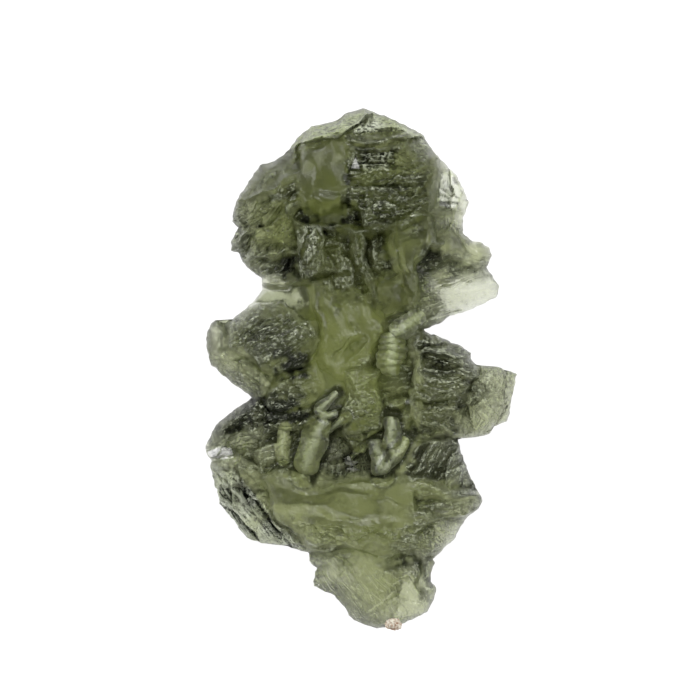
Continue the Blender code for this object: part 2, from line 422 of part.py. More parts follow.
# Thin places, where the underside rises close to the shown side: centre, radii, turn, thickness of glass
WINDOWS = [
    ((5.3, 11.1), (1.0, 1.6), 0, 0.9),
    ((6.8, 5.0), (1.9, 1.0), 10, 0.8),
    ((-5.4, 4.8), (1.3, 0.9), 30, 1.3),
    ((-8.7, 1.9), (0.9, 1.5), 0, 1.2),
    ((7.8, -1.7), (1.7, 2.2), 0, 1.5),
    ((3.0, -13.2), (1.3, 1.5), 0, 1.1),
    ((-8.1, -4.6), (1.2, 0.8), 0, 0.8),
    ((5.0, -9.8), (1.2, 1.2), 0, 1.6),
    ((-0.6, -13.4), (1.4, 1.4), 0, 2.0),
]


def underside(x, y, top):
    """Height of the side it lies on: scaled ground with bosses, pits and two long grooves, and the flat spot."""
    r = Relief(x, y, level=BACK_LEVEL)
    r.lump((0, 13), (6, 3), height=0.8)
    r.lump((-4.6, 9.0), (2.4, 3.4), height=0.7, turn=25)
    r.lump((3.6, 8.2), (2.2, 3.0), height=0.9, turn=-20)
    r.lump((-6.2, 1.0), (2.0, 2.6), height=1.1)
    r.lump((5.4, -0.6), (2.2, 2.6), height=1.0)
    r.lump((-5.0, -7.6), (3.0, 2.2), height=0.9, turn=-35)
    r.lump((3.2, -8.2), (2.6, 2.0), height=0.8, turn=20)
    r.lump((0.4, -12.8), (2.6, 2.6), height=0.9)
    r.crease([(-6.5, 6.4), (-3.6, 5.4), (-0.5, 6.6), (3.0, 5.8), (6.0, 6.6)], width=0.7, height=0.8)
    r.crease([(-8.0, -3.2), (-4.5, -4.4), (-1.0, -4.0), (2.6, -5.0), (6.0, -4.4)], width=0.8, height=1.0)
    r.shards([(-10, 17), (-10, -17), (10, -17), (10, 17)], size=1.5, stretch=1.7, turn=30, step=0.22,
             lean=0.22, seed=31)
    low = r.z + 0.15 * swell(x, y, 3.0, 0.8, seed=4)
    u, v = turned(x, y, FLAT_AT, FLAT_RADII, turn=15)
    low = np.maximum(low, LEAST_CLEAR) - FLAT_DEPTH * np.exp(-((u * u + v * v) ** 2))
    for at, radii, turn, glass in WINDOWS:
        u, v = turned(r.x, r.y, at, radii, turn)
        wander = 0.25 * swell(x, y, 2.5, 1.0, seed=6)
        cover = ease(1.3 * (1.35 + wander - np.hypot(u, v)))
        low = low * (1 - cover) + np.maximum(top - glass, low) * cover
    return np.maximum(low, 0)


def both_sides(x, y):
    """The heights of the two sides, brought together along the outline."""
    depth = depth_inside(x, y, OUTLINE)
    rim = RIM_LEVEL + RIM_SLOPE * y
    turn_down = np.sqrt(1 - np.clip(1 - depth / FRONT_SHOULDER, 0, 1) ** 2)
    top = rim + (shown_side(x, y) - rim) * (RIM_SHARE + (1 - RIM_SHARE) * turn_down)
    turn_up = np.sqrt(1 - np.clip(1 - depth / BACK_SHOULDER, 0, 1) ** 2)
    low = rim + (underside(x, y, top) - rim) * (RIM_SHARE + (1 - RIM_SHARE) * turn_up)
    return top, np.minimum(low, top - THINNEST)


# From the slab to the stone

def clear_scene():
    """Remove whatever the file opened with."""
    for thing in list(bpy.data.objects):
        bpy.data.objects.remove(thing, do_unlink=True)


def named_collection(name):
    """A new collection linked to the scene."""
    made = bpy.data.collections.new(name)
    bpy.context.scene.collection.children.link(made)
    return made


def evaluated(thing):
    """A new mesh of an object as its modifiers leave it."""
    return bpy.data.meshes.new_from_object(thing.evaluated_get(bpy.context.evaluated_depsgraph_get()))


def points_of(mesh):
    """A mesh's points as an array of one row each."""
    flat = np.empty(3 * len(mesh.vertices))
    mesh.vertices.foreach_get("co", flat)
    return flat.reshape(-1, 3)


def put_points(mesh, points):
    """Give a mesh its points back."""
    mesh.vertices.foreach_set("co", points.ravel())
    mesh.update()


def slab_from_outline(collection):
    """The outline as a filled flat curve with a little thickness, made an evenly gridded mesh."""
    curve = bpy.data.curves.new("outline", "CURVE")
    curve.dimensions = "2D"
    curve.fill_mode = "BOTH"
    curve.extrude = SLAB / 2
    line = curve.splines.new("POLY")
    line.points.add(len(OUTLINE) - 1)
    for point, (x, y) in zip(line.points, OUTLINE):
        point.co = (x, y, 0, 1)
    line.use_cyclic_u = True
    drawn = bpy.data.objects.new("outline", curve)
    collection.objects.link(drawn)
    mesh = evaluated(drawn)
    bpy.data.objects.remove(drawn)
    bm = bmesh.new()
    bm.from_mesh(mesh)
    bmesh.ops.remove_doubles(bm, verts=bm.verts, dist=0.001)
    bm.to_mesh(mesh)
    bm.free()
    return regridded(mesh, GRAIN_OF_SLAB, collection)


def regridded(mesh, spacing, collection):
    """The same shape with its points spread evenly, by a voxel remesh."""
    holder = bpy.data.objects.new("regridding", mesh)
    collection.objects.link(holder)
    remesh = holder.modifiers.new("even", "REMESH")
    remesh.mode = "VOXEL"
    remesh.voxel_size = spacing
    mesh = evaluated(holder)
    bpy.data.objects.remove(holder)
    return mesh


def thinned(mesh, triangles, collection):
    """The same shape with fewer, larger triangles where it is nearly flat."""
    holder = bpy.data.objects.new("thinning", mesh)
    collection.objects.link(holder)
    mesh.calc_loop_triangles()
    fewer = holder.modifiers.new("fewer", "DECIMATE")
    fewer.ratio = triangles / len(mesh.loop_triangles)
    fewer.use_collapse_triangulate = True
    mesh = evaluated(holder)
    bpy.data.objects.remove(holder)
    return mesh


def settle(mesh):
    """Press everything below the ground, or a hair above it, flat onto it."""
    points = points_of(mesh)
    points[:, 2] = np.where(points[:, 2] < 0.03, 0, points[:, 2])
    put_points(mesh, points)


def material(name, colour, roughness, transmission=0.0, ior=1.5):
    """A plain Principled material."""
    made = bpy.data.materials.new(name)
    made.use_nodes = True
    shader = made.node_tree.nodes["Principled BSDF"]
    shader.inputs["Base Color"].default_value = (*colour, 1)
    shader.inputs["Roughness"].default_value = roughness
    shader.inputs["Metallic"].default_value = 0
    shader.inputs["Transmission Weight"].default_value = transmission
    shader.inputs["IOR"].default_value = ior
    made.diffuse_color = (*colour, 1)
    return made


def finish(name, mesh, shift, finish_material, collection):
    """An object in metres, with its mesh moved by shift (millimetres)."""
    put_points(mesh, (points_of(mesh) + shift) * MM)
    mesh.name = name
    mesh.materials.clear()
    mesh.materials.append(finish_material)
    made = bpy.data.objects.new(name, mesh)
    collection.objects.link(made)
    mesh.shade_smooth()
    mesh.set_sharp_from_angle(angle=math.radians(40))
    return made


def stone_mesh(collection):
    """The slab carried to the two height fields, evened, thinned and set on its flat spot."""
    slab = slab_from_outline(collection)
    points = points_of(slab)
    top, low = both_sides(points[:, 0], points[:, 1])
    share = np.clip(points[:, 2] / SLAB + 0.5, 0, 1)
    points[:, 2] = low + share * (top - low)
    put_points(slab, points)
    even = regridded(slab, GRAIN_OF_STONE, collection)
    settle(even)
    thin = thinned(even, STONE_TRIANGLES, collection)
    settle(thin)
    return thin


def height_under(mesh, x, y):
    """Height of a mesh's upper side at each point (x, y), or minus infinity where there is none."""
    faces = [tuple(face.vertices) for face in mesh.polygons]
    tree = BVHTree.FromPolygons([tuple(point) for point in points_of(mesh)], faces)
    sky = 100.0
    hits = [tree.ray_cast(Vector((px, py, sky)), Vector((0, 0, -1)))[0] for px, py in zip(x, y)]
    return np.array([-np.inf if hit is None else hit.z for hit in hits])


def crumb_mesh(stone):
    """The crumb of clay caught on the tip of the tail: a rounded lump with an uneven skin."""
    bm = bmesh.new()
    bmesh.ops.create_icosphere(bm, subdivisions=3, radius=1.0)
    mesh = bpy.data.meshes.new("crumb")
    bm.to_mesh(mesh)
    bm.free()
    ball = points_of(mesh)
    uneven = 1 + 0.14 * swell(3 * ball[:, 0] + ball[:, 2], 3 * ball[:, 1], 5.0, 1.5, seed=5)
    lumpy = ball * uneven[:, None] * CRUMB_RADII
    glass = height_under(stone, CRUMB_AT[0] + lumpy[:, 0], CRUMB_AT[1] + lumpy[:, 1])
    rest = np.max(glass - lumpy[:, 2]) + CRUMB_CLEAR
    put_points(mesh, lumpy + (*CRUMB_AT, rest))
    return mesh


def main():
    clear_scene()
    collection = named_collection("moldavite")
    stone = stone_mesh(collection)
    crumb = crumb_mesh(stone)
    both = np.vstack([points_of(stone), points_of(crumb)])
    middle = (both.min(axis=0) + both.max(axis=0)) / 2
    shift = np.array([-middle[0], -middle[1], 0])
    green = material("green_glass", (0.16, 0.21, 0.07), roughness=0.15, transmission=0.9)
    clay = material("clay", (0.62, 0.5, 0.42), roughness=0.9)
    finish("moldavite", stone, shift, green, collection)
    finish("clay_crumb", crumb, shift, clay, collection)


main()
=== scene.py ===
# %% [markdown]
# # A sculpted moldavite
#
# Moldavite is natural glass. Rain and ground water etched this piece for millions of years, so its skin
# is a landscape: smooth windows that one looks into, ledges and scales that glitter grey, and thin round
# bars of glass left standing across a hollow.
#
# The stone lies on its back, so the camera looks straight down on it. Everything is drawn in
# millimetres on a plan seen from above, and is turned into metres when a mesh is made.

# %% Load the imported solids
import math

import bpy
import numpy as np
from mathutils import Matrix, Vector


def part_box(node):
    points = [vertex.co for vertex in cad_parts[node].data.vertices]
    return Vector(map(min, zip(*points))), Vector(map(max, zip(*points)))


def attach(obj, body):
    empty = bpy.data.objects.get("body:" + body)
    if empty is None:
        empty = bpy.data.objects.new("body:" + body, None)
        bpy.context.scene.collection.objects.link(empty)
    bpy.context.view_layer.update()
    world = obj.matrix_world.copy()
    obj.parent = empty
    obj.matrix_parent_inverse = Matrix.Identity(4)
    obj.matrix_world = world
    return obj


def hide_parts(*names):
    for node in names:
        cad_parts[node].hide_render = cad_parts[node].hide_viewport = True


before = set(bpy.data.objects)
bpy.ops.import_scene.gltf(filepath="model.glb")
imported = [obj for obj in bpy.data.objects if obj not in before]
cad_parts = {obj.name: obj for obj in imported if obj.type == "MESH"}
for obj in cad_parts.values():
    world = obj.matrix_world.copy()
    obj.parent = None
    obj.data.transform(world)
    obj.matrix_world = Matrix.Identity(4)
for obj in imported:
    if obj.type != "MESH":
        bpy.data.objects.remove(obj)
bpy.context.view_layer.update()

MM = 0.001

# %% [markdown]
# ## Camera
#
# The photograph looks straight down with the stone's long way upright. A long lens at a hand's
# breadth keeps the stone's sides almost parallel to the line of sight, as a macro lens does. Half the
# frame's width, the lens and the sensor give the distance.

# %% Camera
PHOTO_PIXELS = 700
MM_PER_PIXEL = 0.06
PLAN_ORIGIN_PIXEL = (362, 373)   # where the plan's origin lies in the photograph
FOCUS_HEIGHT = 5.0               # height that the scale holds at, about the stone's middle
LENS = 170.0
SENSOR = 36.0


def put_camera(shift):
    """Camera over the middle of the photograph's frame, looking down, with +Y up in the picture."""
    half = PHOTO_PIXELS / 2
    x = (half - PLAN_ORIGIN_PIXEL[0]) * MM_PER_PIXEL + shift[0]
    y = (PLAN_ORIGIN_PIXEL[1] - half) * MM_PER_PIXEL + shift[1]
    away = half * MM_PER_PIXEL / (SENSOR / 2 / LENS)
    data = bpy.data.cameras.new("camera")
    data.lens = LENS
    data.sensor_width = SENSOR
    data.clip_start = 0.01
    camera = bpy.data.objects.new("camera", data)
    camera.location = (x * MM, y * MM, (FOCUS_HEIGHT + away) * MM)
    bpy.context.scene.collection.objects.link(camera)
    bpy.context.scene.camera = camera
    print(f"camera {away:.0f} mm above the stone's middle")


# %% [markdown]
# ## Light and floor
#
# Glass shows what is behind it and around it. The floor is a softly glowing white table, as under a
# gem photographer's lens, so thin glass stays bright. The room is dim but for five soft lamps, four low
# round the stone and one near the lens, so tilted faces pick up a sheen and steep walls go dark. Lamp
# objects would light it too, but glass mirrors its surroundings, so the lamps are spots of the room.

# %% Light and floor
FLOOR_HALF_WIDTH = 0.4
FLOOR_WHITE = 0.2
FLOOR_GLOW = 0.95
ROOM_DIM = 0.1
LAMP_SPREAD = 50         # power of the cosine that each lamp fades with

# Direction and strength: beyond the head, at either side, near the lens, beyond the tail
LAMPS = [
    ((-0.15, 0.85, 0.5), 16.0),
    ((-0.9, -0.05, 0.42), 11.0),
    ((0.9, 0.0, 0.45), 10.0),
    ((0.35, 0.4, 0.85), 9.0),
    ((-0.45, -0.8, 0.45), 6.0),
]


# %% [markdown]
# ## A small language for shader maths
#
# A `Value` wraps a socket. Adding or multiplying two of them adds the Math node that does it, so a
# pattern reads as a formula. Every other node comes from `Finish.add`.

# %% Shader helpers
class Value:
    """A number or vector in a node tree, with the operators that the patterns use."""

    def __init__(self, finish, socket):
        self.finish = finish
        self.socket = socket

    def math(self, operation, first, second):
        return self.finish.add("ShaderNodeMath", {"operation": operation}, first, second)

    def __add__(self, other):
        return self.math("ADD", self, other)

    def __radd__(self, other):
        return self.math("ADD", other, self)

    def __sub__(self, other):
        return self.math("SUBTRACT", self, other)

    def __rsub__(self, other):
        return self.math("SUBTRACT", other, self)

    def __mul__(self, other):
        return self.math("MULTIPLY", self, other)

    def __rmul__(self, other):
        return self.math("MULTIPLY", other, self)

    def __pow__(self, other):
        return self.math("POWER", self, other)


class Finish:
    """A node tree that is filled one node at a time."""

    def __init__(self, owner):
        owner.use_nodes = True
        self.tree = owner.node_tree
        self.tree.nodes.clear()

    def add(self, kind, settings=None, *values, output=0, **named):
        """A node of a type, with its settings, then its sockets in order or by name."""
        node = self.tree.nodes.new(kind)
        for name, setting in (settings or {}).items():
            if name == "stops":
                self.set_stops(node.color_ramp, setting)
            else:
                setattr(node, name, setting)
        for key, value in [*enumerate(values), *named.items()]:
            socket = node.inputs[key.replace("_", " ") if isinstance(key, str) else key]
            if isinstance(value, Value):
                self.tree.links.new(value.socket, socket)
            elif value is not None:
                socket.default_value = value
        return Value(self, node.outputs[output]) if len(node.outputs) else node

    def ledges(self, phase):
        """A sawtooth that rises over one unit of phase and falls over its last seventh."""
        part = self.add("ShaderNodeMath", {"operation": "FRACT"}, phase)
        return self.add("ShaderNodeMath", {"operation": "MINIMUM"}, part, 6 * (1 - part))

    def clamp(self, value):
        """The value held between 0 and 1."""
        return self.add("ShaderNodeClamp", None, value)

    def mix(self, share, first, second):
        """A colour between two. The node's colour sockets come after those of its other kinds."""
        return self.add("ShaderNodeMix", {"data_type": "RGBA"}, share, *[None] * 5, first, second, output=2)

    @staticmethod
    def set_stops(ramp, stops):
        """Give a colour ramp its stops, each a place and a colour."""
        while len(ramp.elements) < len(stops):
            ramp.elements.new(1.0)
        for element, (place, colour) in zip(ramp.elements, stops):
            element.position = place
            element.color = (*colour, 1)


# %% Build the room and the floor
def build_room():
    """World light: ROOM_DIM, plus each lamp's strength times cosine to the power of LAMP_SPREAD."""
    world = bpy.data.worlds.new("room")
    bpy.context.scene.world = world
    finish = Finish(world)
    way = finish.add("ShaderNodeTexCoord", output=0)
    strength = ROOM_DIM
    for direction, lamp in LAMPS:
        towards = tuple(part / math.hypot(*direction) for part in direction)
        cosine = finish.add("ShaderNodeVectorMath", {"operation": "DOT_PRODUCT"}, way, towards, output=1)
        facing = finish.add("ShaderNodeMath", {"operation": "MAXIMUM"}, cosine, 0.0)
        strength = strength + lamp * facing**LAMP_SPREAD
    light = finish.add("ShaderNodeBackground", None, (1, 1, 1, 1), strength)
    finish.add("ShaderNodeOutputWorld", None, light)


def build_floor():
    """A wide flat plane with a plain white finish that glows a little."""
    w = FLOOR_HALF_WIDTH
    mesh = bpy.data.meshes.new("floor")
    mesh.from_pydata([(-w, -w, 0), (w, -w, 0), (w, w, 0), (-w, w, 0)], [], [(0, 1, 2, 3)])
    floor = bpy.data.objects.new("floor", mesh)
    bpy.context.scene.collection.objects.link(floor)
    white = bpy.data.materials.new("white_table")
    finish = Finish(white)
    shader = finish.add("ShaderNodeBsdfPrincipled", None, (FLOOR_WHITE, FLOOR_WHITE, FLOOR_WHITE, 1),
                        Roughness=0.9, Emission_Color=(1, 1, 1, 1), Emission_Strength=FLOOR_GLOW)
    finish.add("ShaderNodeOutputMaterial", None, shader)
    mesh.materials.append(white)


build_room()
build_floor()
bpy.context.scene.view_settings.view_transform = "Standard"
print("room and floor ready")

# %% [markdown]
# ## Plan drawing
#
# The stone's outline is a ring of corners. A curve object could hold it, but with an array
# numpy works out how far each point is from it, or from any other line, and those distances shape
# everything that follows.

# %% The outline
# Anticlockwise from the top: head, left waist, knob, left flank, tail, right flank, arm, wing
OUTLINE = [
    (0.25, 15.85), (-0.85, 15.62), (-1.6, 15.12), (-3.05, 14.78), (-3.95, 14.1), (-4.4, 13.35),
    (-5.45, 12.65), (-6.15, 12.5), (-6.85, 11.35), (-7.55, 10.4), (-7.78, 9.75), (-7.82, 9.1),
    (-7.45, 8.75), (-7.85, 7.8), (-7.85, 7.35), (-7.4, 7.2), (-7.05, 6.45), (-6.05, 5.7),
    (-6.0, 5.0), (-6.15, 4.75), (-7.0, 3.9), (-7.75, 3.25), (-8.3, 2.93), (-8.8, 3.22),
    (-9.1, 3.0), (-9.35, 2.4), (-9.4, 1.5), (-9.1, 0.5), (-8.05, -0.45), (-6.6, -1.5),
    (-7.4, -2.05), (-8.1, -2.5), (-8.8, -3.1), (-9.5, -4.4), (-9.4, -4.95), (-9.15, -5.2),
    (-9.2, -5.7), (-8.8, -7.2), (-8.6, -8.0), (-7.9, -8.75), (-7.3, -9.65), (-6.95, -10.0),
    (-6.2, -10.3), (-4.85, -10.45), (-3.2, -10.9), (-3.2, -11.4), (-2.75, -11.8), (-2.95, -12.7),
    (-2.9, -12.95), (-1.7, -13.5), (-1.1, -14.15), (-0.8, -14.7), (-0.45, -15.05), (0.1, -15.25),
    (0.9, -15.5), (1.6, -15.45), (2.4, -15.3), (4.0, -14.5), (4.3, -13.9), (4.52, -13.1),
    (4.15, -12.6), (4.2, -12.1), (4.45, -11.5), (4.3, -11.3), (5.65, -10.0), (6.2, -8.9),
    (7.0, -8.25), (7.35, -7.75), (7.0, -7.1), (6.5, -6.2), (5.95, -4.6), (5.8, -4.0),
    (7.2, -3.85), (7.7, -3.7), (8.0, -3.25), (8.7, -2.95), (8.95, -2.45), (9.05, -1.5),
    (9.35, -0.1), (9.1, 0.1), (8.6, 0.15), (8.4, 0.35), (7.0, 0.45), (6.55, 0.85),
    (6.6, 1.2), (6.0, 1.6), (5.0, 2.05), (3.65, 2.55), (4.9, 3.1), (5.3, 3.4),
    (6.6, 3.8), (8.1, 4.6), (8.3, 5.2), (7.5, 6.35), (7.82, 7.1), (7.6, 7.55),
    (7.2, 7.85), (6.5, 8.0), (6.1, 8.4), (6.1, 9.4), (6.48, 10.2), (5.9, 11.5),
    (5.4, 12.2), (4.35, 13.2), (3.6, 14.35), (2.0, 15.15), (0.8, 15.6),
]
corners = np.array(OUTLINE)
plan_middle = (corners.min(axis=0) + corners.max(axis=0)) / 2
stone_low, stone_high = (np.array(end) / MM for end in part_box("moldavite"))
SHIFT = np.append((stone_low[:2] + stone_high[:2]) / 2 - plan_middle, 0)
put_camera(SHIFT)
print("plan to frame, mm:", SHIFT.round(3))


# %% Distances on the plan
def nearest(x, y, path):
    """Distance from each point to a line of corners, and how far along it the nearest place is, 0 to 1.

    On one leg from a to b, the nearest place is a + t (b - a), with t the share of the leg that the
    point's shadow falls on, held between 0 and 1.
    """
    path = np.asarray(path, float)
    legs = np.hypot(*np.diff(path, axis=0).T)
    before = np.concatenate([[0.0], np.cumsum(legs)])
    best = np.full(np.shape(x), np.inf)
    share = np.zeros(np.shape(x))
    for (ax, ay), (bx, by), leg, walked in zip(path[:-1], path[1:], legs, before):
        t = np.clip(((x - ax) * (bx - ax) + (y - ay) * (by - ay)) / leg**2, 0, 1)
        away = np.hypot(x - ax - t * (bx - ax), y - ay - t * (by - ay))
        closer = away < best
        best = np.where(closer, away, best)
        share = np.where(closer, (walked + t * leg) / before[-1], share)
    return best, share


def depth_inside(x, y, outline):
    """Distance to a closed outline, positive inside it.

    A point is inside where a ray from it along X crosses the outline an odd number of times.
    """
    ring = list(outline) + [outline[0]]
    away = nearest(x, y, ring)[0]
    inside = np.zeros(np.shape(x), bool)
    for (ax, ay), (bx, by) in zip(ring[:-1], ring[1:]):
        if ay != by:
            inside ^= ((ay > y) != (by > y)) & (x < (bx - ax) * (y - ay) / (by - ay) + ax)
    return np.where(inside, away, -away)


def ease(t):
    """Smooth step: 3 t squared minus 2 t cubed, with t held between 0 and 1."""
    t = np.clip(t, 0, 1)
    return t * t * (3 - 2 * t)


def turned(x, y, at, radii, turn):
    """Coordinates along an ellipse's own axes, in units of its radii."""
    a = math.radians(turn)
    u = ((x - at[0]) * math.cos(a) + (y - at[1]) * math.sin(a)) / radii[0]
    v = ((y - at[1]) * math.cos(a) - (x - at[0]) * math.sin(a)) / radii[1]
    return u, v


def swell(place, longest, shortest, seed, count=9):
    """Irregular swell, about -1 to 1: plane waves whose lengths shrink from longest to shortest.

    Each wave is length times sin(2 pi (way . place) / length + phase), in a random way and phase. The
    place is a list of coordinate arrays, two on the plan or three in space.
    """
    rng = np.random.default_rng(seed)
    lengths = np.geomspace(longest, shortest, count)
    total = np.zeros(np.shape(place[0]))
    for length in lengths:
        way = rng.normal(size=len(place))
        way /= np.linalg.norm(way)
        along = sum(part * step for part, step in zip(place, way))
        total += length * np.sin(2 * np.pi * along / length + rng.uniform(0, 2 * np.pi))
    return total / (0.55 * lengths.sum())


CELL_COLUMNS = 61        # columns and rows of cells before their chances repeat
CELL_ROWS = 67


def cells(u, v, seed):
    """The nine cells round each point: the way from each one's random centre, and three chances."""
    table = np.random.default_rng(seed).random((5, CELL_COLUMNS, CELL_ROWS))
    column, row = np.floor(u).astype(int), np.floor(v).astype(int)
    for i in (-1, 0, 1):
        for j in (-1, 0, 1):
            jitter_u, jitter_v, *chances = table[:, (column + i) % CELL_COLUMNS, (row + j) % CELL_ROWS]
            yield u - column - i - jitter_u, v - row - j - jitter_v, chances


# %% [markdown]
# ## A relief, form by form
#
# The shown side is a height for each point of the plan. A brush in sculpt mode could make it, but forms
# laid by code can be moved and run again. It starts level, and each form is laid over what is there: a
# `plate` is one tilted face, a `lump` a boss or a dent, a `crease` a ridge or a groove. `shards` breaks
# a region into overlapping scales, `ribs` and `rings` cut straight or curved ledges into it, and `pits`
# peppers it with tiny bowls.

# %% The relief
class Relief:
    """A height field over the points (x, y)."""

    BEND = 0.22          # how far edges wander from the lines that they are drawn on
    FINE_BEND = 0.03     # the same for the short waves
    CRACK_WIDTH = 0.09
    LEDGE_MEAN = 0.43    # mean of the sawtooth, taken off so that ledges leave the level as it is

    def __init__(self, x, y, level):
        self.x = self.bent(x, (x, y), seed=1)
        self.y = self.bent(y, (x, y), seed=2)
        self.z = np.full(np.shape(x), float(level))

    def bent(self, part, place, seed):
        """One coordinate of each point, moved by a long swell and a short one."""
        part = part + self.BEND * swell(place, 3.5, 1.2, seed)
        return part + self.FINE_BEND * swell(place, 1.0, 0.4, seed + 4)

    def plate(self, outline, level, tilt=(0, 0), dome=0.0, edge=0.3, reach=1.5):
        """A face laid over what is there: level at its middle, tilted, and domed over its edges."""
        depth = depth_inside(self.x, self.y, outline)
        cx, cy = np.mean(outline, axis=0)
        face = level + tilt[0] * (self.x - cx) + tilt[1] * (self.y - cy)
        face = face + dome * (1 - np.clip(1 - depth / reach, 0, 1) ** 2)
        cover = ease(depth / edge + 0.5)
        self.z = self.z * (1 - cover) + face * cover

    def lump(self, at, radii, height, turn=0.0):
        """A rounded lump, height times (1 - distance squared), or a dent where height is negative."""
        u, v = turned(self.x, self.y, at, radii, turn)
        self.z = self.z + height * np.clip(1 - u * u - v * v, 0, None)

    def crease(self, path, width, height):
        """A ridge along a path, a bell curve across it, or a groove where height is negative."""
        away, share = nearest(self.x, self.y, path)
        fade = np.clip(6 * share, 0.3, 1) * np.clip(6 * (1 - share), 0.3, 1)
        self.z = self.z + height * fade * np.exp(-((away / width) ** 2))

    def shards(self, outline, size, stretch, turn, lean, seed, crack=0.0, edge=0.3):
        """Overlapping scales: each point takes the tilted face of its nearest centre, about lean steep.

        The tilt is always up along turn + 90 degrees, as roof tiles are, with chance added. A crack opens
        where the two nearest centres are equally far.
        """
        depth = depth_inside(self.x, self.y, outline)
        here = depth > 0
        u, v = turned(self.x[here], self.y[here], (0, 0), (size * stretch, size), turn)
        nearest_one = np.full(u.shape, np.inf)
        second = nearest_one.copy()
        face = np.zeros(u.shape)
        for across, up, chances in cells(u, v, seed):
            away = np.hypot(across, up)
            height = 0.9 * (chances[0] - 0.5) + (0.3 + 1.2 * chances[1]) * up + (chances[2] - 0.5) * across
            face = np.where(away < nearest_one, height, face)
            second = np.minimum(second, np.maximum(away, nearest_one))
            nearest_one = np.minimum(nearest_one, away)
        gap = (second - nearest_one) * size / self.CRACK_WIDTH
        face = lean * size * face - crack * np.exp(-(gap**2))
        self.z[here] += face * ease(depth[here] / edge)

    def comb(self, outline, phase, along, height, edge):
        """Ledges: height rises slowly with the phase and falls fast just before each whole number."""
        cover = ease(depth_inside(self.x, self.y, outline) / edge)
        wander = 0.45 * swell((along / 3, phase), 1.6, 0.4, seed=7)
        wander = wander + 0.3 * swell((along, phase), 1.2, 0.3, seed=10)
        strength = np.clip(0.7 + 0.7 * swell((along / 2, phase), 3.0, 0.8, seed=8), 0.1, 1.5)
        part = np.mod(phase + wander, 1)
        self.z = self.z + height * strength * cover * (np.minimum(part, 6 * (1 - part)) - self.LEDGE_MEAN)

    def ribs(self, outline, pitch, turn, height, edge=0.4):
        """Straight ledges that run along turn and face across it."""
        u, v = turned(self.x, self.y, (0, 0), (1, 1), turn)
        self.comb(outline, v / pitch, u, height, edge)

    def rings(self, outline, centre, pitch, height, edge=0.4):
        """Curved ledges round a centre."""
        u, v = self.x - centre[0], self.y - centre[1]
        self.comb(outline, np.hypot(u, v) / pitch, u + v, height, edge)

    def pits(self, outline, size, depth, seed, edge=0.3):
        """Tiny bowls, 1 - (distance / radius) squared, each with its own radius and depth."""
        cover = ease(depth_inside(self.x, self.y, outline) / edge)
        bowl = np.zeros(np.shape(self.x))
        for across, up, chances in cells(self.x / size, self.y / size, seed):
            radius = 0.3 + 0.4 * chances[0]
            shape = np.clip(1 - (across**2 + up**2) / radius**2, 0, None)
            bowl = np.maximum(bowl, (0.4 + 0.6 * chances[1]) * shape)
        self.z = self.z - depth * cover * bowl


# %% [markdown]
# ## The shown side, region by region
#
# Each function below lays one region, in the order in which its faces overlap. One long table would do,
# but a region at a time is easier to set beside the stone. Names follow what the regions look like from
# above: a head, a wing and an arm on the right, a banded lobe on the left, a hollow crossed by bars, a
# broad shelf, and a tail.

# %% Body and head
def lay_body(r):
    """The column of the body, between the head and the bars, and the thin sheet left of it."""
    r.plate([(-6.3, 5.9), (-3.1, 5.8), (-2.9, 3.0), (-4, 3.3), (-6.2, 3.9), (-7.2, 3.8)],
            level=4.9, tilt=(0.1, 0.05), dome=0.1)
    r.plate([(-3.0, 5.4), (-0.5, 6.3), (0.6, 4.6), (1.5, 3.4), (1.4, 2.2), (0.5, 1.0), (0.3, -0.5),
             (-0.9, -0.4), (-1.8, -0.2), (-2.6, 1.0), (-2.5, 2.2), (-3.1, 3.2)],
            level=6.1, tilt=(0.05, 0.06), dome=0.35, edge=0.5, reach=1.0)
    r.lump((-0.75, 1.45), (1.35, 0.5), height=-0.55, turn=50)
    r.crease([(-1.5, 0.5), (-0.9, 1.6), (-0.1, 2.5)], width=0.14, height=0.25)
    r.crease([(-2.5, 4.6), (-1.9, 3.2), (-1.8, 1.7), (-2.1, 0.5)], width=0.4, height=0.16)
    r.crease([(-0.7, 4.9), (-1.0, 3.4), (-0.5, 2.2)], width=0.4, height=-0.14)
    r.crease([(0.3, 4.2), (0.0, 3.2), (0.4, 2.0), (0.2, 0.9)], width=0.35, height=0.14)
    r.lump((-1.3, 4.3), (0.7, 0.5), height=-0.35, turn=-50)
    r.lump((2.2, 0.2), (1.6, 1.5), height=0.5)
    r.crease([(-2.75, 4.8), (-2.85, 3.6), (-2.45, 2.6), (-2.3, 1.5)], width=0.18, height=0.3)


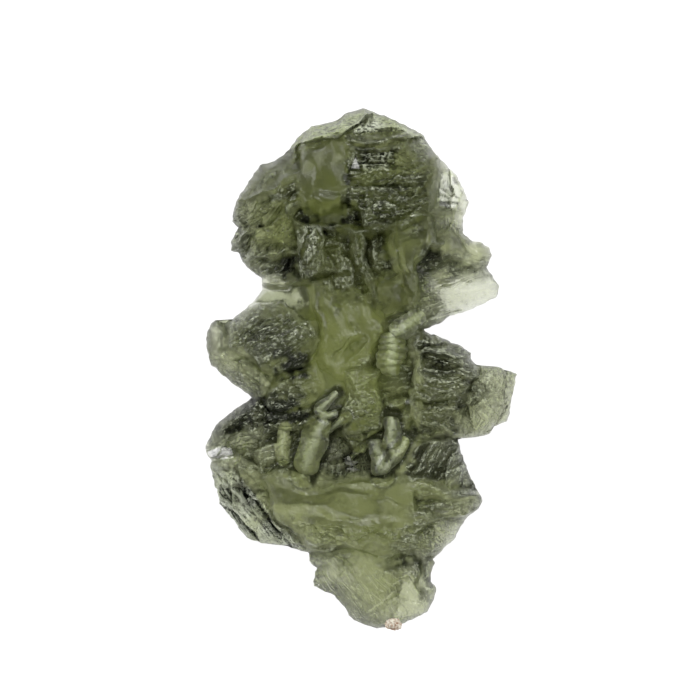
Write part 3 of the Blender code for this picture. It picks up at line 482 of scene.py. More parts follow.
def lay_head(r):
    """The head's dome, its slope up the left shoulder and the scallops along its top."""
    r.plate([(-9, 17), (-9, 6.3), (-6.2, 5.5), (-4.6, 5.0), (-3.2, 5.4), (-2.4, 5.9), (-0.6, 6.2),
             (0.2, 5.2), (0.9, 4.1), (3.2, 4.0), (3.6, 6.6), (5.2, 6.6), (7.2, 6.5), (9, 6.4), (9, 17)],
            level=7.2, tilt=(0, -0.02), dome=0.4, edge=0.6)
    r.lump((-0.8, 10.6), (6.8, 5.4), height=1.3)
    r.plate([(-8.5, 10.1), (-7.0, 10.2), (-5.7, 11.0), (-4.6, 12.0), (-3.7, 12.2), (-3.6, 13.2),
             (-3.2, 14.3), (-4, 15.5), (-8, 13)], level=6.6, tilt=(0.5, -0.5), dome=0.1, edge=0.4)
    r.lump((-2.1, 14.6), (1.3, 0.7), height=-0.6, turn=20)
    r.lump((-0.4, 14.8), (0.9, 0.6), height=-0.5, turn=50)
    r.lump((0.6, 14.7), (0.8, 0.5), height=-0.4, turn=20)
    r.lump((1.8, 14.3), (0.9, 0.45), height=-0.8, turn=-10)
    r.crease([(-1.2, 14.0), (-0.3, 14.4), (0.2, 15.0)], width=0.12, height=0.25)
    r.crease([(0.2, 15.7), (0.5, 14.9), (0.2, 14.3)], width=0.12, height=0.22)
    r.crease([(-0.7, 13.75), (0.1, 13.7), (1.0, 13.75)], width=0.14, height=0.3)


# %% Right of the head
def lay_right_of_head(r):
    """The block with its recess and lower plate, and the thin window and the fall right of it."""
    r.plate([(-1.0, 13.7), (1, 13.6), (2.6, 13.9), (3.9, 13.1), (4.25, 9.4), (3.9, 8.9), (2.9, 8.6),
             (0.3, 8.4), (-0.2, 9.0), (-1.0, 9.6)], level=8.1, tilt=(-0.15, 0), dome=0.2, reach=0.8)
    r.plate([(-0.6, 12.05), (-0.35, 13.15), (2.0, 13.15), (2.0, 12.05)], level=7.85, tilt=(-0.1, 0.2),
            edge=0.35)
    r.plate([(-0.85, 11.95), (-0.4, 13.0), (0.05, 11.95)], level=8.0, tilt=(0.1, 0.4), edge=0.15)
    r.crease([(3.55, 12.2), (3.9, 13.1)], width=0.14, height=0.3)
    r.crease([(0.2, 11.0), (1.6, 11.05), (3.2, 11.2)], width=0.12, height=-0.35)
    r.plate([(0.2, 8.45), (0.2, 9.9), (1.5, 10.05), (2.6, 9.8), (3.9, 9.1), (3.0, 8.7)],
            level=8.5, tilt=(-0.15, -0.1), dome=0.1)
    r.lump((3.1, 8.75), (0.6, 0.22), height=0.3, turn=20)
    r.plate([(4.35, 9.5), (4.45, 12.4), (4.9, 13.2), (7.2, 11), (7.0, 9.2), (6.0, 9.5)],
            level=5.5, tilt=(-0.25, 0), edge=0.4)
    r.crease([(4.6, 11.4), (5.0, 11.0), (5.9, 10.4)], width=0.08, height=-0.2)
    r.crease([(4.5, 10.8), (5.0, 10.6), (5.3, 10.2)], width=0.08, height=-0.2)
    r.crease([(4.6, 10.1), (5.4, 10.15), (6.1, 9.95)], width=0.1, height=-0.3)
    r.plate([(4.25, 9.3), (6.0, 9.6), (6.8, 9.4), (6.2, 8.5), (7.1, 8.2), (8, 8), (8, 6.6), (7.1, 6.65),
             (5.8, 6.65), (4.95, 7.0), (4.8, 7.9), (4.25, 8.1)],
            level=6.3, tilt=(-0.42, 0.1), dome=0.2, reach=0.6)
    r.crease([(5.1, 8.9), (5.9, 7.8), (6.9, 6.9)], width=0.14, height=-0.4)
    r.lump((7.3, 7.2), (0.9, 0.9), height=0.3)


# %% Left of the head
def lay_left_of_head(r):
    """The broken plates down the left of the head, each tilted its own way."""
    r.plate([(-8.4, 10.2), (-7, 10.3), (-5.6, 10.7), (-4.6, 9.9), (-3.9, 8.9), (-3.8, 6.9), (-6, 5.6),
             (-8.4, 6.3)], level=6.7, tilt=(0.25, 0))
    r.plate([(-7.8, 9.7), (-6.9, 8.4), (-6.2, 8.4), (-5.2, 9.6), (-5.6, 10.5), (-7.1, 10.3)],
            level=6.2, tilt=(0.1, 0.25), edge=0.25)
    r.plate([(-6.25, 8.45), (-5.9, 8.55), (-4.6, 9.75), (-4.85, 10.05), (-5.4, 9.7)],
            level=5.6, tilt=(0.2, 0), edge=0.2)
    r.plate([(-6.4, 8.25), (-5.9, 8.45), (-4.6, 9.6), (-4.0, 9.0), (-3.9, 7.1), (-6.3, 7.05)],
            level=7.0, tilt=(0.1, 0.1), dome=0.1, edge=0.25)
    r.lump((-5.4, 7.6), (0.75, 0.4), height=-0.7, turn=-5)
    r.plate([(-8.1, 7.3), (-7.0, 8.35), (-6.4, 8.2), (-7.0, 6.9)], level=5.5, tilt=(0.3, 0.1), edge=0.2)
    r.plate([(-7.3, 6.3), (-6.4, 7.0), (-3.7, 7.0), (-3.4, 5.6), (-4.6, 5.1), (-6.1, 5.5)],
            level=5.8, tilt=(0.15, 0.3))
    r.crease([(-4.7, 9.75), (-3.6, 10.5)], width=0.16, height=-0.5)


# %% Middle of the head
def lay_middle_of_head(r):
    """The smooth window with its lip, and under it the drop, the loop, the groove and the tongue."""
    r.plate([(-4.0, 9.3), (-3, 10.1), (-1.0, 10.3), (0, 9.7), (0.2, 8.6), (-1.5, 8.6), (-3.5, 8.9)],
            level=7.0)
    r.plate([(-3.5, 13.2), (-2.9, 13.9), (-1.5, 13.8), (-1.05, 12.6), (-0.95, 11.3), (-1.2, 10.4),
             (-1.7, 9.95), (-2.5, 9.85), (-3.05, 10.3), (-3.0, 11.2), (-3.5, 12)],
            level=8.75, tilt=(0.05, -0.06), dome=0.15, edge=0.9, reach=1.3)
    r.lump((-2.1, 10.3), (0.9, 0.45), height=0.35, turn=-8)
    r.crease([(-2.9, 13.6), (-2.6, 12.4), (-2.75, 11.2)], width=0.3, height=0.07)
    r.crease([(-1.7, 13.6), (-1.75, 12.2), (-1.5, 10.9)], width=0.3, height=0.06)
    r.plate([(-3.9, 8.9), (-2.6, 8.8), (-2.3, 7.6), (-2.4, 6.0), (-3.1, 5.5), (-3.75, 6.5)],
            level=7.8, tilt=(0, 0.05), dome=0.4, reach=0.7)
    r.plate([(-2.3, 8.6), (-0.6, 8.4), (-0.6, 6.3), (-2.4, 6.0)], level=7.2, tilt=(0, 0.1), dome=0.1,
            edge=0.4)
    r.lump((-1.7, 7.45), (0.8, 0.42), height=0.45, turn=8)
    r.lump((-1.65, 7.4), (0.5, 0.2), height=-0.7, turn=8)
    r.plate([(0.0, 8.3), (1.8, 8.3), (1.9, 6.5), (3.1, 4.0), (1.1, 4.0), (0.9, 5.3), (0.1, 6.8)],
            level=6.5, tilt=(0, 0.1), edge=0.4)
    r.lump((0.85, 7.2), (0.6, 1.1), height=0.6, turn=10)
    r.lump((2.1, 5.0), (1.0, 1.0), height=0.8)
    r.lump((2.3, 5.1), (0.2, 0.12), height=-0.5)
    r.plate([(1.9, 8.5), (3.9, 8.9), (3.3, 7.0), (3.0, 5.9), (2.6, 5.7), (2.1, 6.6)],
            level=7.5, tilt=(-0.1, 0.15), dome=0.3, reach=0.6)
    r.crease([(0.2, 4.05), (1.6, 3.65), (3.3, 3.95)], width=0.25, height=-0.8)


# %% Wing and lobe
def lay_wing(r):
    """The thin wedge that stands out right of the head."""
    r.plate([(3.4, 2.4), (3.3, 6.4), (3.8, 7.8), (4.8, 7.8), (4.95, 6.85), (7.1, 6.5), (9, 5.6),
             (8.6, 4.2), (7, 3.6), (5, 2.8)], level=4.9, tilt=(-0.16, 0.12))
    r.crease([(6.9, 6.5), (7.7, 5.9), (8.3, 5.1)], width=0.25, height=0.5)
    r.crease([(3.6, 3.4), (4.9, 3.75), (6.2, 4.0)], width=0.16, height=-0.55)
    r.lump((5.0, 5.4), (1.2, 1.0), height=0.12)
    r.crease([(3.7, 4.4), (5.2, 4.6), (6.6, 4.7)], width=0.3, height=0.14)
    r.crease([(3.9, 6.3), (4.6, 5.6), (4.9, 4.6)], width=0.25, height=-0.16)


def lay_left_lobe(r):
    """The banded lump on the left, with the clear knob, the fan and the wedge round it."""
    r.plate([(-10, 3.6), (-7.9, 3.6), (-7.8, 1.4), (-8.9, 0.4), (-10, 0.4)], level=4.9, tilt=(0.1, 0),
            dome=0.3)
    r.lump((-8.75, 1.9), (0.5, 0.9), height=-0.5)
    r.plate([(-8.1, 1.5), (-6.7, 0.8), (-6.0, 0.1), (-5.5, -0.8), (-5.9, -1.5), (-6.7, -1.9),
             (-8.6, -0.6), (-9.2, 0.5)], level=5.3, tilt=(0.35, 0.2))
    r.plate([(-7.9, 3.4), (-7.0, 4.0), (-6.2, 4.15), (-5.0, 4.15), (-4.2, 3.85), (-3.8, 3.3),
             (-3.0, 2.95), (-2.5, 2.1), (-2.9, 1.4), (-3.3, 0.9), (-3.7, 0.3), (-5.0, 0.2), (-5.9, 0.3),
             (-6.7, 0.75), (-7.5, 1.0), (-8.0, 1.6), (-8.0, 2.5)], level=6.8, tilt=(0.05, 0), dome=1.2,
            reach=2.0)
    r.lump((-3.5, 2.1), (0.8, 1.0), height=0.35, turn=-30)
    r.plate([(-5.7, -1.9), (-5.2, -2.35), (-3.0, -1.6), (-2.4, -0.6), (-2.6, 0.8), (-3.7, 0.2),
             (-5.1, 0.1), (-5.5, -0.9)], level=5.8, tilt=(0.1, -0.25), dome=0.1)
    r.lump((-3.25, -0.65), (0.65, 0.7), height=0.6)


# %% Arm
def lay_arm(r):
    """The grooved block right of the body, and the thin arm beyond it."""
    r.plate([(3.1, 2.7), (3.65, 2.6), (5, 2.2), (6.7, 1.4), (6.9, 0.7), (7.0, 0.3), (6.9, -0.3),
             (6.0, -1.4), (3.8, -1.9), (3.1, -1.9), (3.0, 0.6), (2.8, 1.9)], level=6.3,
            tilt=(-0.12, -0.1), dome=0.3, reach=0.8)
    r.crease([(3.1, 1.6), (5, 1.5), (6.2, 1.3)], width=0.16, height=-0.6)
    r.crease([(2.9, 1.3), (4.5, 1.2), (6.3, 1.05)], width=0.14, height=0.35)
    r.plate([(3.0, -1.8), (6.1, -1.4), (5.9, -3.9), (3.9, -3.1), (3.0, -2.8)],
            level=5.7, tilt=(-0.1, 0.1), dome=0.2)
    r.plate([(6.9, 0.8), (10, 0.8), (10, -2.8), (8.7, -3.4), (7.6, -4.3), (5.8, -4.5), (5.5, -3),
             (5.8, -1.8), (6.8, -0.4)], level=5.0, tilt=(-0.15, 0), dome=0.2, edge=0.4)
    r.crease([(9.15, 0.2), (8.75, -1.2), (8.65, -2.2)], width=0.2, height=-0.4)
    r.plate([(2.9, -2.8), (4.0, -3.1), (5.7, -3.75), (5.9, -4.2), (3.7, -4.1), (2.6, -3.7)],
            level=4.3, tilt=(0, 0.3), edge=0.25)


# %% Hollow, shelf, flank and tail
def lay_hollow(r):
    """The dark lip, the clear gap and the rough ground at the left, the hollow, and its right wall."""
    r.plate([(-10, -4.4), (-9, -3), (-6.6, -1.7), (-5.7, -1.9), (-5.2, -2.4), (-3.0, -1.8), (-2.6, -3),
             (-4, -3.4), (-5.8, -3.4), (-7.0, -2.9), (-8.2, -3.3), (-9, -4.4), (-9.2, -5.2), (-10, -5.2)],
            level=5.2, tilt=(0.05, 0.1), dome=0.3, reach=0.5)
    r.plate([(-8.9, -5.1), (-8.2, -3.5), (-7.2, -3.1), (-6.2, -3.8), (-6.3, -5.5), (-7.3, -5.2)],
            level=4.0, tilt=(0.2, 0.2))
    r.plate([(-6.2, -3.6), (-4.0, -3.3), (-3.8, -6.2), (-5.8, -6.4), (-6.3, -5.2)], level=4.7, dome=0.1)
    r.plate([(-2.7, -3.6), (-1.6, -3.0), (-0.8, -3.4), (0.8, -4.2), (1.8, -5.0), (2.2, -6.2),
             (-3.1, -6.6), (-3.0, -5.5)], level=3.4, tilt=(0, 0.1), edge=0.4)
    r.plate([(2.1, -6.1), (3.6, -4.3), (5.4, -4.05), (6.5, -3.9), (7.4, -7.1), (4.0, -6.6)],
            level=4.9, tilt=(-0.25, 0.15), dome=0.1)
    r.crease([(3.2, -4.9), (3.8, -4.1), (5.6, -4.0)], width=0.12, height=0.35)


def lay_column_end(r):
    """The column's rounded lower end that hangs over the hollow, and the ground at its right."""
    r.plate([(-1.3, 0.2), (-1.0, -1.4), (-1.15, -2.6), (-1.1, -3.6), (-0.7, -4.7), (0.1, -4.9),
             (0.5, -4.2), (1.1, -3.5), (1.35, -2.6), (0.9, -1.6), (1.1, 0.2)], level=5.7,
            tilt=(0.05, 0.1), dome=0.9, edge=0.2)
    r.lump((0.15, -2.3), (1.1, 1.4), height=0.5)
    r.lump((1.75, 1.5), (0.75, 1.2), height=0.7)
    r.lump((0.6, 0.3), (0.9, 0.7), height=0.35)
    r.crease([(1.4, -0.9), (2.2, -0.95), (2.9, -0.7)], width=0.16, height=0.4)
    r.crease([(1.4, -1.9), (2.1, -1.95), (2.9, -1.6)], width=0.16, height=0.35)
    r.lump((1.9, -1.45), (0.6, 0.3), height=-0.45)
    r.lump((2.75, -1.75), (0.3, 0.25), height=0.3)
    r.lump((0.7, 1.3), (0.35, 0.5), height=-0.5)
    r.lump((2.6, 1.5), (0.3, 0.9), height=-0.6)


def lay_shelf(r):
    """The broad smooth shelf below the hollow, the matt wedge at its right and the pale face under that."""
    r.plate([(-6.3, -6.3), (-4.6, -6.0), (-2.6, -6.55), (0, -6.35), (2, -6.2), (4, -6.6), (6.7, -7.2),
             (8, -7.6), (7.5, -8.6), (5, -8.7), (3.2, -9.6), (3, -10.5), (0, -10.6), (-2.5, -10.3),
             (-4, -9.9), (-5.3, -8.5), (-5.9, -7.6)],
            level=6.1, tilt=(0, 0.16), dome=0.3, edge=0.4, reach=0.8)
    r.lump((-1.0, -8.0), (4.5, 0.9), height=-0.45, turn=-4)
    r.crease([(-5.3, -6.9), (-3.6, -7.3), (-1.8, -7.9), (0.6, -8.1), (2.9, -7.9)], width=0.4, height=0.13)
    r.crease([(-4.9, -7.9), (-2.6, -8.6), (-0.4, -8.9), (2.6, -8.7)], width=0.35, height=0.09)
    r.crease([(-2.0, -6.9), (0.4, -7.1), (3.0, -7.5)], width=0.3, height=0.07)
    r.crease([(-4.0, -6.6), (-2.4, -7.2), (-0.4, -7.5)], width=0.3, height=-0.08)
    r.plate([(3.1, -7.1), (3.1, -8.2), (4.3, -8.6), (7.5, -8.3), (7.5, -7.4), (5.5, -7.5)],
            level=5.2, tilt=(-0.1, -0.2), edge=0.25)
    r.plate([(3.2, -10.7), (3.35, -9.8), (4.2, -9.15), (5, -8.75), (7, -8.7), (6.5, -10), (4.5, -12)],
            level=4.4, tilt=(-0.5, 0.35))


def lay_left_flank(r):
    """The long fall from the shelf's left end down to the edge, under its flat head."""
    r.plate([(-10, -5.25), (-7.6, -5.25), (-6.7, -5.7), (-6.3, -6.3), (-5.9, -7.1), (-5.6, -7.6),
             (-5.2, -8.4), (-4.6, -9.1), (-4.0, -9.7), (-3.2, -10.2), (-2.2, -10.6), (-2.5, -11.4),
             (-10, -11.4)], level=4.6, tilt=(0.45, 0.32))
    r.plate([(-9.3, -5.3), (-7.6, -5.3), (-6.7, -5.8), (-6.3, -6.5), (-6.9, -6.8), (-8.6, -6.9)],
            level=5.2, tilt=(0.15, 0), dome=0.1)
    r.lump((-6.6, -7.2), (0.5, 0.35), height=-0.6, turn=-20)
    r.lump((-7.8, -7.4), (0.8, 0.4), height=-0.5, turn=-25)


def lay_tail(r):
    """The thin smooth tail below the shelf."""
    r.plate([(-4, -10.95), (-2.4, -10.75), (-1, -10.6), (0.8, -10.8), (3.2, -10.7), (4.4, -11.2),
             (5.2, -11.6), (5.2, -16), (-4, -16)], level=4.0, tilt=(0.12, 0.08))
    r.lump((0.6, -12.4), (2.0, 2.8), height=0.6)
    r.lump((2.6, -11.4), (1.7, 0.6), height=-0.5)
    r.crease([(3.6, -11.2), (3.65, -12.4), (3.6, -13.4)], width=0.2, height=-0.6)
    r.crease([(1.3, -12.8), (2.5, -12.55), (3.3, -12.6)], width=0.08, height=-0.18)
    r.crease([(1.0, -13.95), (2.2, -13.6), (3.4, -13.75)], width=0.08, height=-0.18)
    r.crease([(0.3, -14.7), (0.9, -14.2), (2.0, -13.3)], width=0.1, height=0.22)
    r.crease([(2.2, -12.6), (3.3, -12.15)], width=0.07, height=0.15)
    r.lump((4.05, -13.2), (0.5, 0.6), height=0.3)


# %% [markdown]
# ## Scales, ribs and pits
#
# Between the smooth windows the ground is etched. A bump texture alone would leave its profile flat, so
# the larger scales, ledges and pits are cut into the heights. The same outlines tell the material later
# where the skin is rough and how much painted shade darkens it, so each etched region is named once
# here.

# %% Etched regions
# How much painted shade darkens the ground of each region, 0 to 1, which way its ledges run, and its
# outline
ETCHED = {
    "block": (0.6, 4, [(-1.0, 13.8), (1, 13.6), (2.6, 13.9), (4.0, 13.1), (4.25, 9.4), (3.9, 8.9),
                       (2.9, 8.4), (0.0, 8.2), (-1.0, 9.8)]),
    "left_of_head": (0.45, 46, [(-8.2, 10.3), (-6.8, 11.0), (-4.2, 12.0), (-3.6, 10.8), (-3.2, 9.5),
                                (-3.9, 6.0), (-6.2, 5.5), (-8.2, 7.4)]),
    "under_head": (0.6, 100, [(-3.9, 9.0), (2.0, 8.4), (1.0, 4.0), (-2.5, 5.0), (-4.0, 5.4)]),
    "brow": (0.2, 15, [(-9.5, 13), (-4, 15.6), (2.5, 15.4), (5, 13), (4.3, 12), (4.0, 13.4), (-1, 13.8),
                   (-4.2, 12.5)]),
    "flank": (0.25, 133, [(-10, -5.3), (-6.4, -5.6), (-5.3, -8.4), (-3.2, -10.2), (-2.5, -11.2),
                          (-10, -11)]),
    "left_of_hollow": (0.6, 25, [(-9.4, -4.9), (-8.6, -3.2), (-6.6, -1.6), (-2.6, -1.8), (-3.0, -6.2),
                                 (-6, -6.3), (-9.2, -5.3)]),
    "bars": (0.3, 10, [(-0.5, 0.5), (3.0, 2.4), (3.4, -0.5), (3.2, -4.0), (0.5, -4.2), (-1.2, -1.0)]),
    "grooved_block": (0.75, -10, [(3.2, 2.6), (6.8, 1.2), (7.0, -0.5), (5.8, -3.8), (3.2, -4.0)]),
    "arm": (0.2, 60, [(6.9, 0.7), (10, 0.7), (10, -3.5), (5.9, -4.4), (5.7, -2.2)]),
    "right_of_hollow": (0.95, 55, [(2.2, -6.2), (3.5, -4.2), (5.6, -3.9), (7.5, -7.3), (4, -6.6)]),
    "under_shelf": (0.3, -8, [(-4.2, -9.0), (3.0, -9.0), (5.0, -8.6), (7.6, -8.6), (4.4, -11.3),
                              (-3, -10.9)]),
    "tail": (0.1, -50, [(-4, -10.9), (4.6, -11.2), (5, -16), (-3.5, -15)]),
    "wing": (0.2, 20, [(3.2, 3.2), (3.4, 7.6), (7.4, 6.6), (8.8, 5.2), (7, 3.4)]),
    "right_edge": (0.3, 80, [(4.3, 13.3), (7.2, 11.5), (7.2, 8.0), (4.3, 8.2)]),
    "lobe": (0.85, 30, [(-8.1, 3.4), (-4, 4.1), (-2.5, 2.0), (-3.7, 0.2), (-6.0, 0.3), (-8.0, 1.4)]),
    "fan": (0.3, -35, [(-8.6, 1.2), (-6.6, 0.6), (-5.6, -0.4), (-6.4, -1.8), (-9.4, 0.4)]),
    "hollow": (0.5, 100, [(-2.7, -3.6), (-0.8, -3.2), (2.0, -5.0), (2.2, -6.2), (-3.1, -6.6)]),
    "matt_wedge": (0.5, 0, [(3.0, -6.9), (3.1, -8.4), (4.3, -8.7), (7.6, -8.6), (7.6, -7.3)]),
    "speckled_wedge": (0.5, 20, [(-5.8, -1.9), (-5.2, -2.5), (-3.0, -1.6), (-2.5, -0.4), (-3.4, 0.2),
                                 (-5.1, 0.1)]),
}
print(len(ETCHED), "etched regions")

# %% Scales and pits
# Region, size, stretch, turn of its length, lean, crack
SCALES = [
    ("block", 1.1, 2.6, 3, 0.4, 0.02),
    ("block", 0.5, 2.4, 6, 0.3, 0.0),
    ("left_of_head", 1.2, 2.4, 48, 0.7, 0.03),
    ("left_of_head", 0.5, 2.2, 40, 0.3, 0.0),
    ("under_head", 1.0, 1.8, -75, 0.35, 0.04),
    ("under_head", 0.45, 1.8, 10, 0.3, 0.0),
    ("brow", 1.3, 2.4, 200, 0.45, 0.02),
    ("brow", 0.6, 2.0, 190, 0.25, 0.0),
    ("flank", 1.3, 3.4, 132, 0.55, 0.02),
    ("flank", 0.5, 3.0, 128, 0.3, 0.0),
    ("left_of_hollow", 1.2, 2.2, 20, 0.3, 0.03),
    ("left_of_hollow", 0.45, 2.0, 30, 0.3, 0.0),
    ("bars", 0.8, 1.8, 10, 0.25, 0.03),
    ("grooved_block", 1.2, 2.6, -12, 0.35, 0.03),
    ("grooved_block", 0.5, 2.4, -5, 0.3, 0.0),
    ("arm", 1.2, 1.8, 60, 0.4, 0.12),
    ("arm", 0.6, 1.5, 100, 0.2, 0.0),
    ("right_of_hollow", 1.4, 1.6, 60, 0.5, 0.03),
    ("right_of_hollow", 0.5, 1.8, 50, 0.25, 0.0),
    ("under_shelf", 0.9, 2.0, 172, 0.45, 0.0),
    ("right_edge", 0.9, 1.8, 80, 0.4, 0.08),
    ("hollow", 0.8, 1.4, 30, 0.6, 0.1),
    ("matt_wedge", 0.6, 1.8, 0, 0.3, 0.02),
    ("speckled_wedge", 0.6, 1.5, 20, 0.35, 0.02),
]

# Region, size and depth of its pits
PITS = {
    "under_head": (0.5, 0.1), "left_of_hollow": (0.5, 0.16), "hollow": (0.5, 0.2),
    "under_shelf": (0.55, 0.2), "bars": (0.6, 0.12), "flank": (0.7, 0.1), "left_of_head": (0.6, 0.1),
}


def break_up(r):
    """Scales and speckle over the etched ground."""
    for seed, (name, size, stretch, turn, lean, crack) in enumerate(SCALES, start=11):
        r.shards(ETCHED[name][2], size, stretch, turn, lean, seed, crack)
    for seed, (name, (size, depth)) in enumerate(PITS.items(), start=71):
        r.pits(ETCHED[name][2], size, depth, seed)


print(len(SCALES), "layers of scales,", len(PITS), "of pits")

# %% Ribs and rings
# Region or outline, pitch, turn of the ledges, height
RIBS = [
    ("block", 0.45, 4, 0.22),
    ([(-1.0, 13.8), (4.3, 13.8), (4.3, 10.0), (-1.0, 9.8)], 0.9, 3, 0.3),
    ("left_of_head", 0.6, 226, 0.25),
    ("under_head", 0.6, 100, 0.15),
    ("brow", 0.9, 195, 0.2),
    ("flank", 0.7, 130, 0.25),
    ("left_of_hollow", 0.7, 25, 0.2),
    ("grooved_block", 0.5, -10, 0.2),
    ("right_of_hollow", 0.9, 55, 0.15),
    ("under_shelf", 0.7, 172, 0.14),
    ("lobe", 0.4, 30, 0.2),
]

# Region or outline, centre, pitch, height
RINGS = [
    ("arm", (3, -6), 0.8, 0.25),
    ([(-8.2, 2.6), (-7.2, 4.2), (-4.0, 4.3), (-3.4, 3.2), (-5.2, 2.6), (-6.6, 2.2), (-7.4, 1.2)],
     (-5.2, 0.9), 0.42, 0.26),
    ("fan", (-11, -5), 0.5, 0.3),
    ([(-4, -10.8), (2.5, -10.8), (1.6, -15.8), (-3.5, -15)], (-4.2, -15.5), 0.9, 0.12),
    ([(-1.1, -2.2), (1.4, -2.2), (1.4, -3.4), (0.4, -4.9), (-0.9, -4.8), (-1.2, -3.4)], (0.15, -1.4), 0.4,
     0.32),
    ([(-2.8, 5.4), (-0.4, 5.8), (0.8, 3.0), (0.2, 0.2), (-2.2, 0.2)], (-6.5, 0.5), 0.8, 0.08),
]


def outline_of(where):
    """The outline of a named region, or the outline itself."""
    return ETCHED[where][2] if isinstance(where, str) else where


def comb_through(r):
    """Lamellae, onion ledges and flow lines."""
    for where, pitch, turn, height in RIBS:
        r.ribs(outline_of(where), pitch, turn, height)
    for where, centre, pitch, height in RINGS:
        r.rings(outline_of(where), centre, pitch, height)


print(len(RIBS), "sets of ribs,", len(RINGS), "of rings")

# %% The whole shown side
def shown_side(x, y):
    """Height of the shown side, before it turns down to the rim."""
    r = Relief(x, y, level=5.0)
    for lay in (lay_body, lay_head, lay_right_of_head, lay_left_of_head, lay_middle_of_head, lay_wing,
                lay_left_lobe, lay_arm, lay_hollow, lay_column_end, lay_shelf, lay_left_flank, lay_tail,
                break_up, comb_through):
        lay(r)
    return r.z + 0.1 * swell((x, y), 3.0, 1.2, seed=3)


# %% [markdown]
# ## The side it lies on
#
# It isn't in the photograph, so it is made the way such stones often are: bosses, two long hollows and
# dimples all over. It could be left flat, but light comes through the glass from below, so its shape
# shows: where the stone looks thin and clear, the underside rises close to the shown side. One belly is
# worn to a small flat spot, and the stone rests there.

# %% The underside
BACK_LEVEL = 0.95
LEAST_CLEAR = 0.35       # how far the underside keeps off the table away from the flat spot
FLAT_AT = (-0.1, 2.3)
FLAT_RADII = (4.2, 5.2)
FLAT_DEPTH = 1.25        # how far the belly would reach, were it not worn flat

# Thin places: centre, radii, turn, thickness of glass
WINDOWS = [
    ((5.1, 10.9), (1.7, 2.4), 0, 0.6),
    ((6.4, 5.0), (3.4, 1.9), 10, 1.2),
    ((-5.4, 4.6), (3.0, 1.7), 10, 0.9),
    ((-8.7, 1.9), (0.9, 1.5), 0, 4.0),
    ((7.8, -1.7), (1.7, 2.2), 0, 2.8),
    ((3.0, -13.4), (1.2, 1.7), 0, 2.8),
    ((-8.6, -4.9), (1.4, 0.8), 0, 0.8),
    ((5.0, -9.8), (1.2, 1.2), 0, 2.2),
]


def underside(x, y, top):
    """Height of the side it lies on."""
    r = Relief(x, y, level=BACK_LEVEL)
    r.lump((0, 13), (6, 3), height=0.8)
    r.lump((-4.6, 9.0), (2.4, 3.4), height=0.7, turn=25)
    r.lump((3.6, 8.2), (2.2, 3.0), height=0.9, turn=-20)
    r.lump((-6.2, 1.0), (2.0, 2.6), height=1.1)
    r.lump((5.4, -0.6), (2.2, 2.6), height=1.0)
    r.lump((-5.0, -7.6), (3.0, 2.2), height=0.9, turn=-35)
    r.lump((3.2, -8.2), (2.6, 2.0), height=0.8, turn=20)
    r.lump((0.4, -12.8), (3.0, 3.0), height=-0.6)
    r.crease([(-6.5, 6.4), (-3.6, 5.4), (-0.5, 6.6), (3.0, 5.8), (6.0, 6.6)], width=0.7, height=0.8)
    r.crease([(-8.0, -3.2), (-4.5, -4.4), (-1.0, -4.0), (2.6, -5.0), (6.0, -4.4)], width=0.8, height=1.0)
    everywhere = [(-10, 17), (-10, -17), (10, -17), (10, 17)]
    for size, depth, seed in ((2.6, 0.5, 91), (1.3, 0.3, 92), (0.6, 0.08, 93)):
        r.pits(everywhere, size, depth, seed)
    low = r.z + 0.15 * swell((x, y), 3.0, 0.8, seed=4)
    u, v = turned(x, y, FLAT_AT, FLAT_RADII, turn=15)
    low = np.maximum(low, LEAST_CLEAR) - FLAT_DEPTH * np.exp(-((u * u + v * v) ** 2))
    for at, radii, turn, glass in WINDOWS:
        u, v = turned(r.x, r.y, at, radii, turn)
        wander = 0.25 * swell((x, y), 2.5, 1.0, seed=6)
        cover = ease(0.65 * (1.7 + wander - np.hypot(u, v)))
        low = low * (1 - cover) + np.maximum(top - glass, low) * cover
    return np.maximum(low, 0)


# %% [markdown]
# ## Both sides in one closed surface
#
# A point of the surface has two parameters: how far along the stone, from tail to head, and how far
# round it, back across the underside and then across the shown side. Two sheets sewn together would
# show a seam at the rim. The columns keep to one even grid, and those beyond a row's ends are pressed
# into its rim, where the surface turns over.

# %% The closed surface
RIM_LEVEL = 3.6          # height of the rim at the plan's origin
RIM_SLOPE = 0.07         # how much it rises towards the head
FRONT_SHOULDER = 1.1     # how far in from the outline each side is fully at its own height
BACK_SHOULDER = 3.8
BACK_POWER = 1.7
RIM_SHARE = 0.08         # how much of its own height a side keeps at the very rim
THINNEST = 0.25          # least glass between the two sides
ROW_STEP = 0.08
SHOWN_COLUMNS = 235
BELOW_COLUMNS = 120
PRESSED = 0.04           # how wide a column stays where it would lie beyond the row's end


def turn_over(depth, width):
    """A quarter circle that rises from RIM_SHARE at the outline to 1 at one width inside it."""
    return RIM_SHARE + (1 - RIM_SHARE) * np.sqrt(1 - np.clip(1 - depth / width, 0, 1) ** 2)


def slope_under(depth):
    """The same over BACK_SHOULDER, but as 1 - (1 - depth / width) to the power of BACK_POWER.

    It rises more gently, so the rims stay thin and clear.
    """
    return RIM_SHARE + (1 - RIM_SHARE) * (1 - np.clip(1 - depth / BACK_SHOULDER, 0, 1) ** BACK_POWER)


def both_sides(x, y):
    """Heights of the two sides, which leave the rim's level by turn_over and by slope_under."""
    depth = depth_inside(x, y, OUTLINE)
    rim = RIM_LEVEL + RIM_SLOPE * y
    top = rim + (shown_side(x, y) - rim) * turn_over(depth, FRONT_SHOULDER)
    low = rim + (underside(x, y, top) - rim) * slope_under(depth)
    return top, np.minimum(low, top - THINNEST)


def outline_ends(y):
    """The least and greatest X at which each level Y crosses the outline."""
    a = corners
    b = np.roll(corners, -1, axis=0)
    t = (y[:, None] - a[:, 1]) / (b[:, 1] - a[:, 1])
    x = a[:, 0] + t * (b[:, 0] - a[:, 0])
    crossed = (t >= 0) & (t < 1)
    return np.where(crossed, x, np.inf).min(axis=1), np.where(crossed, x, -np.inf).max(axis=1)


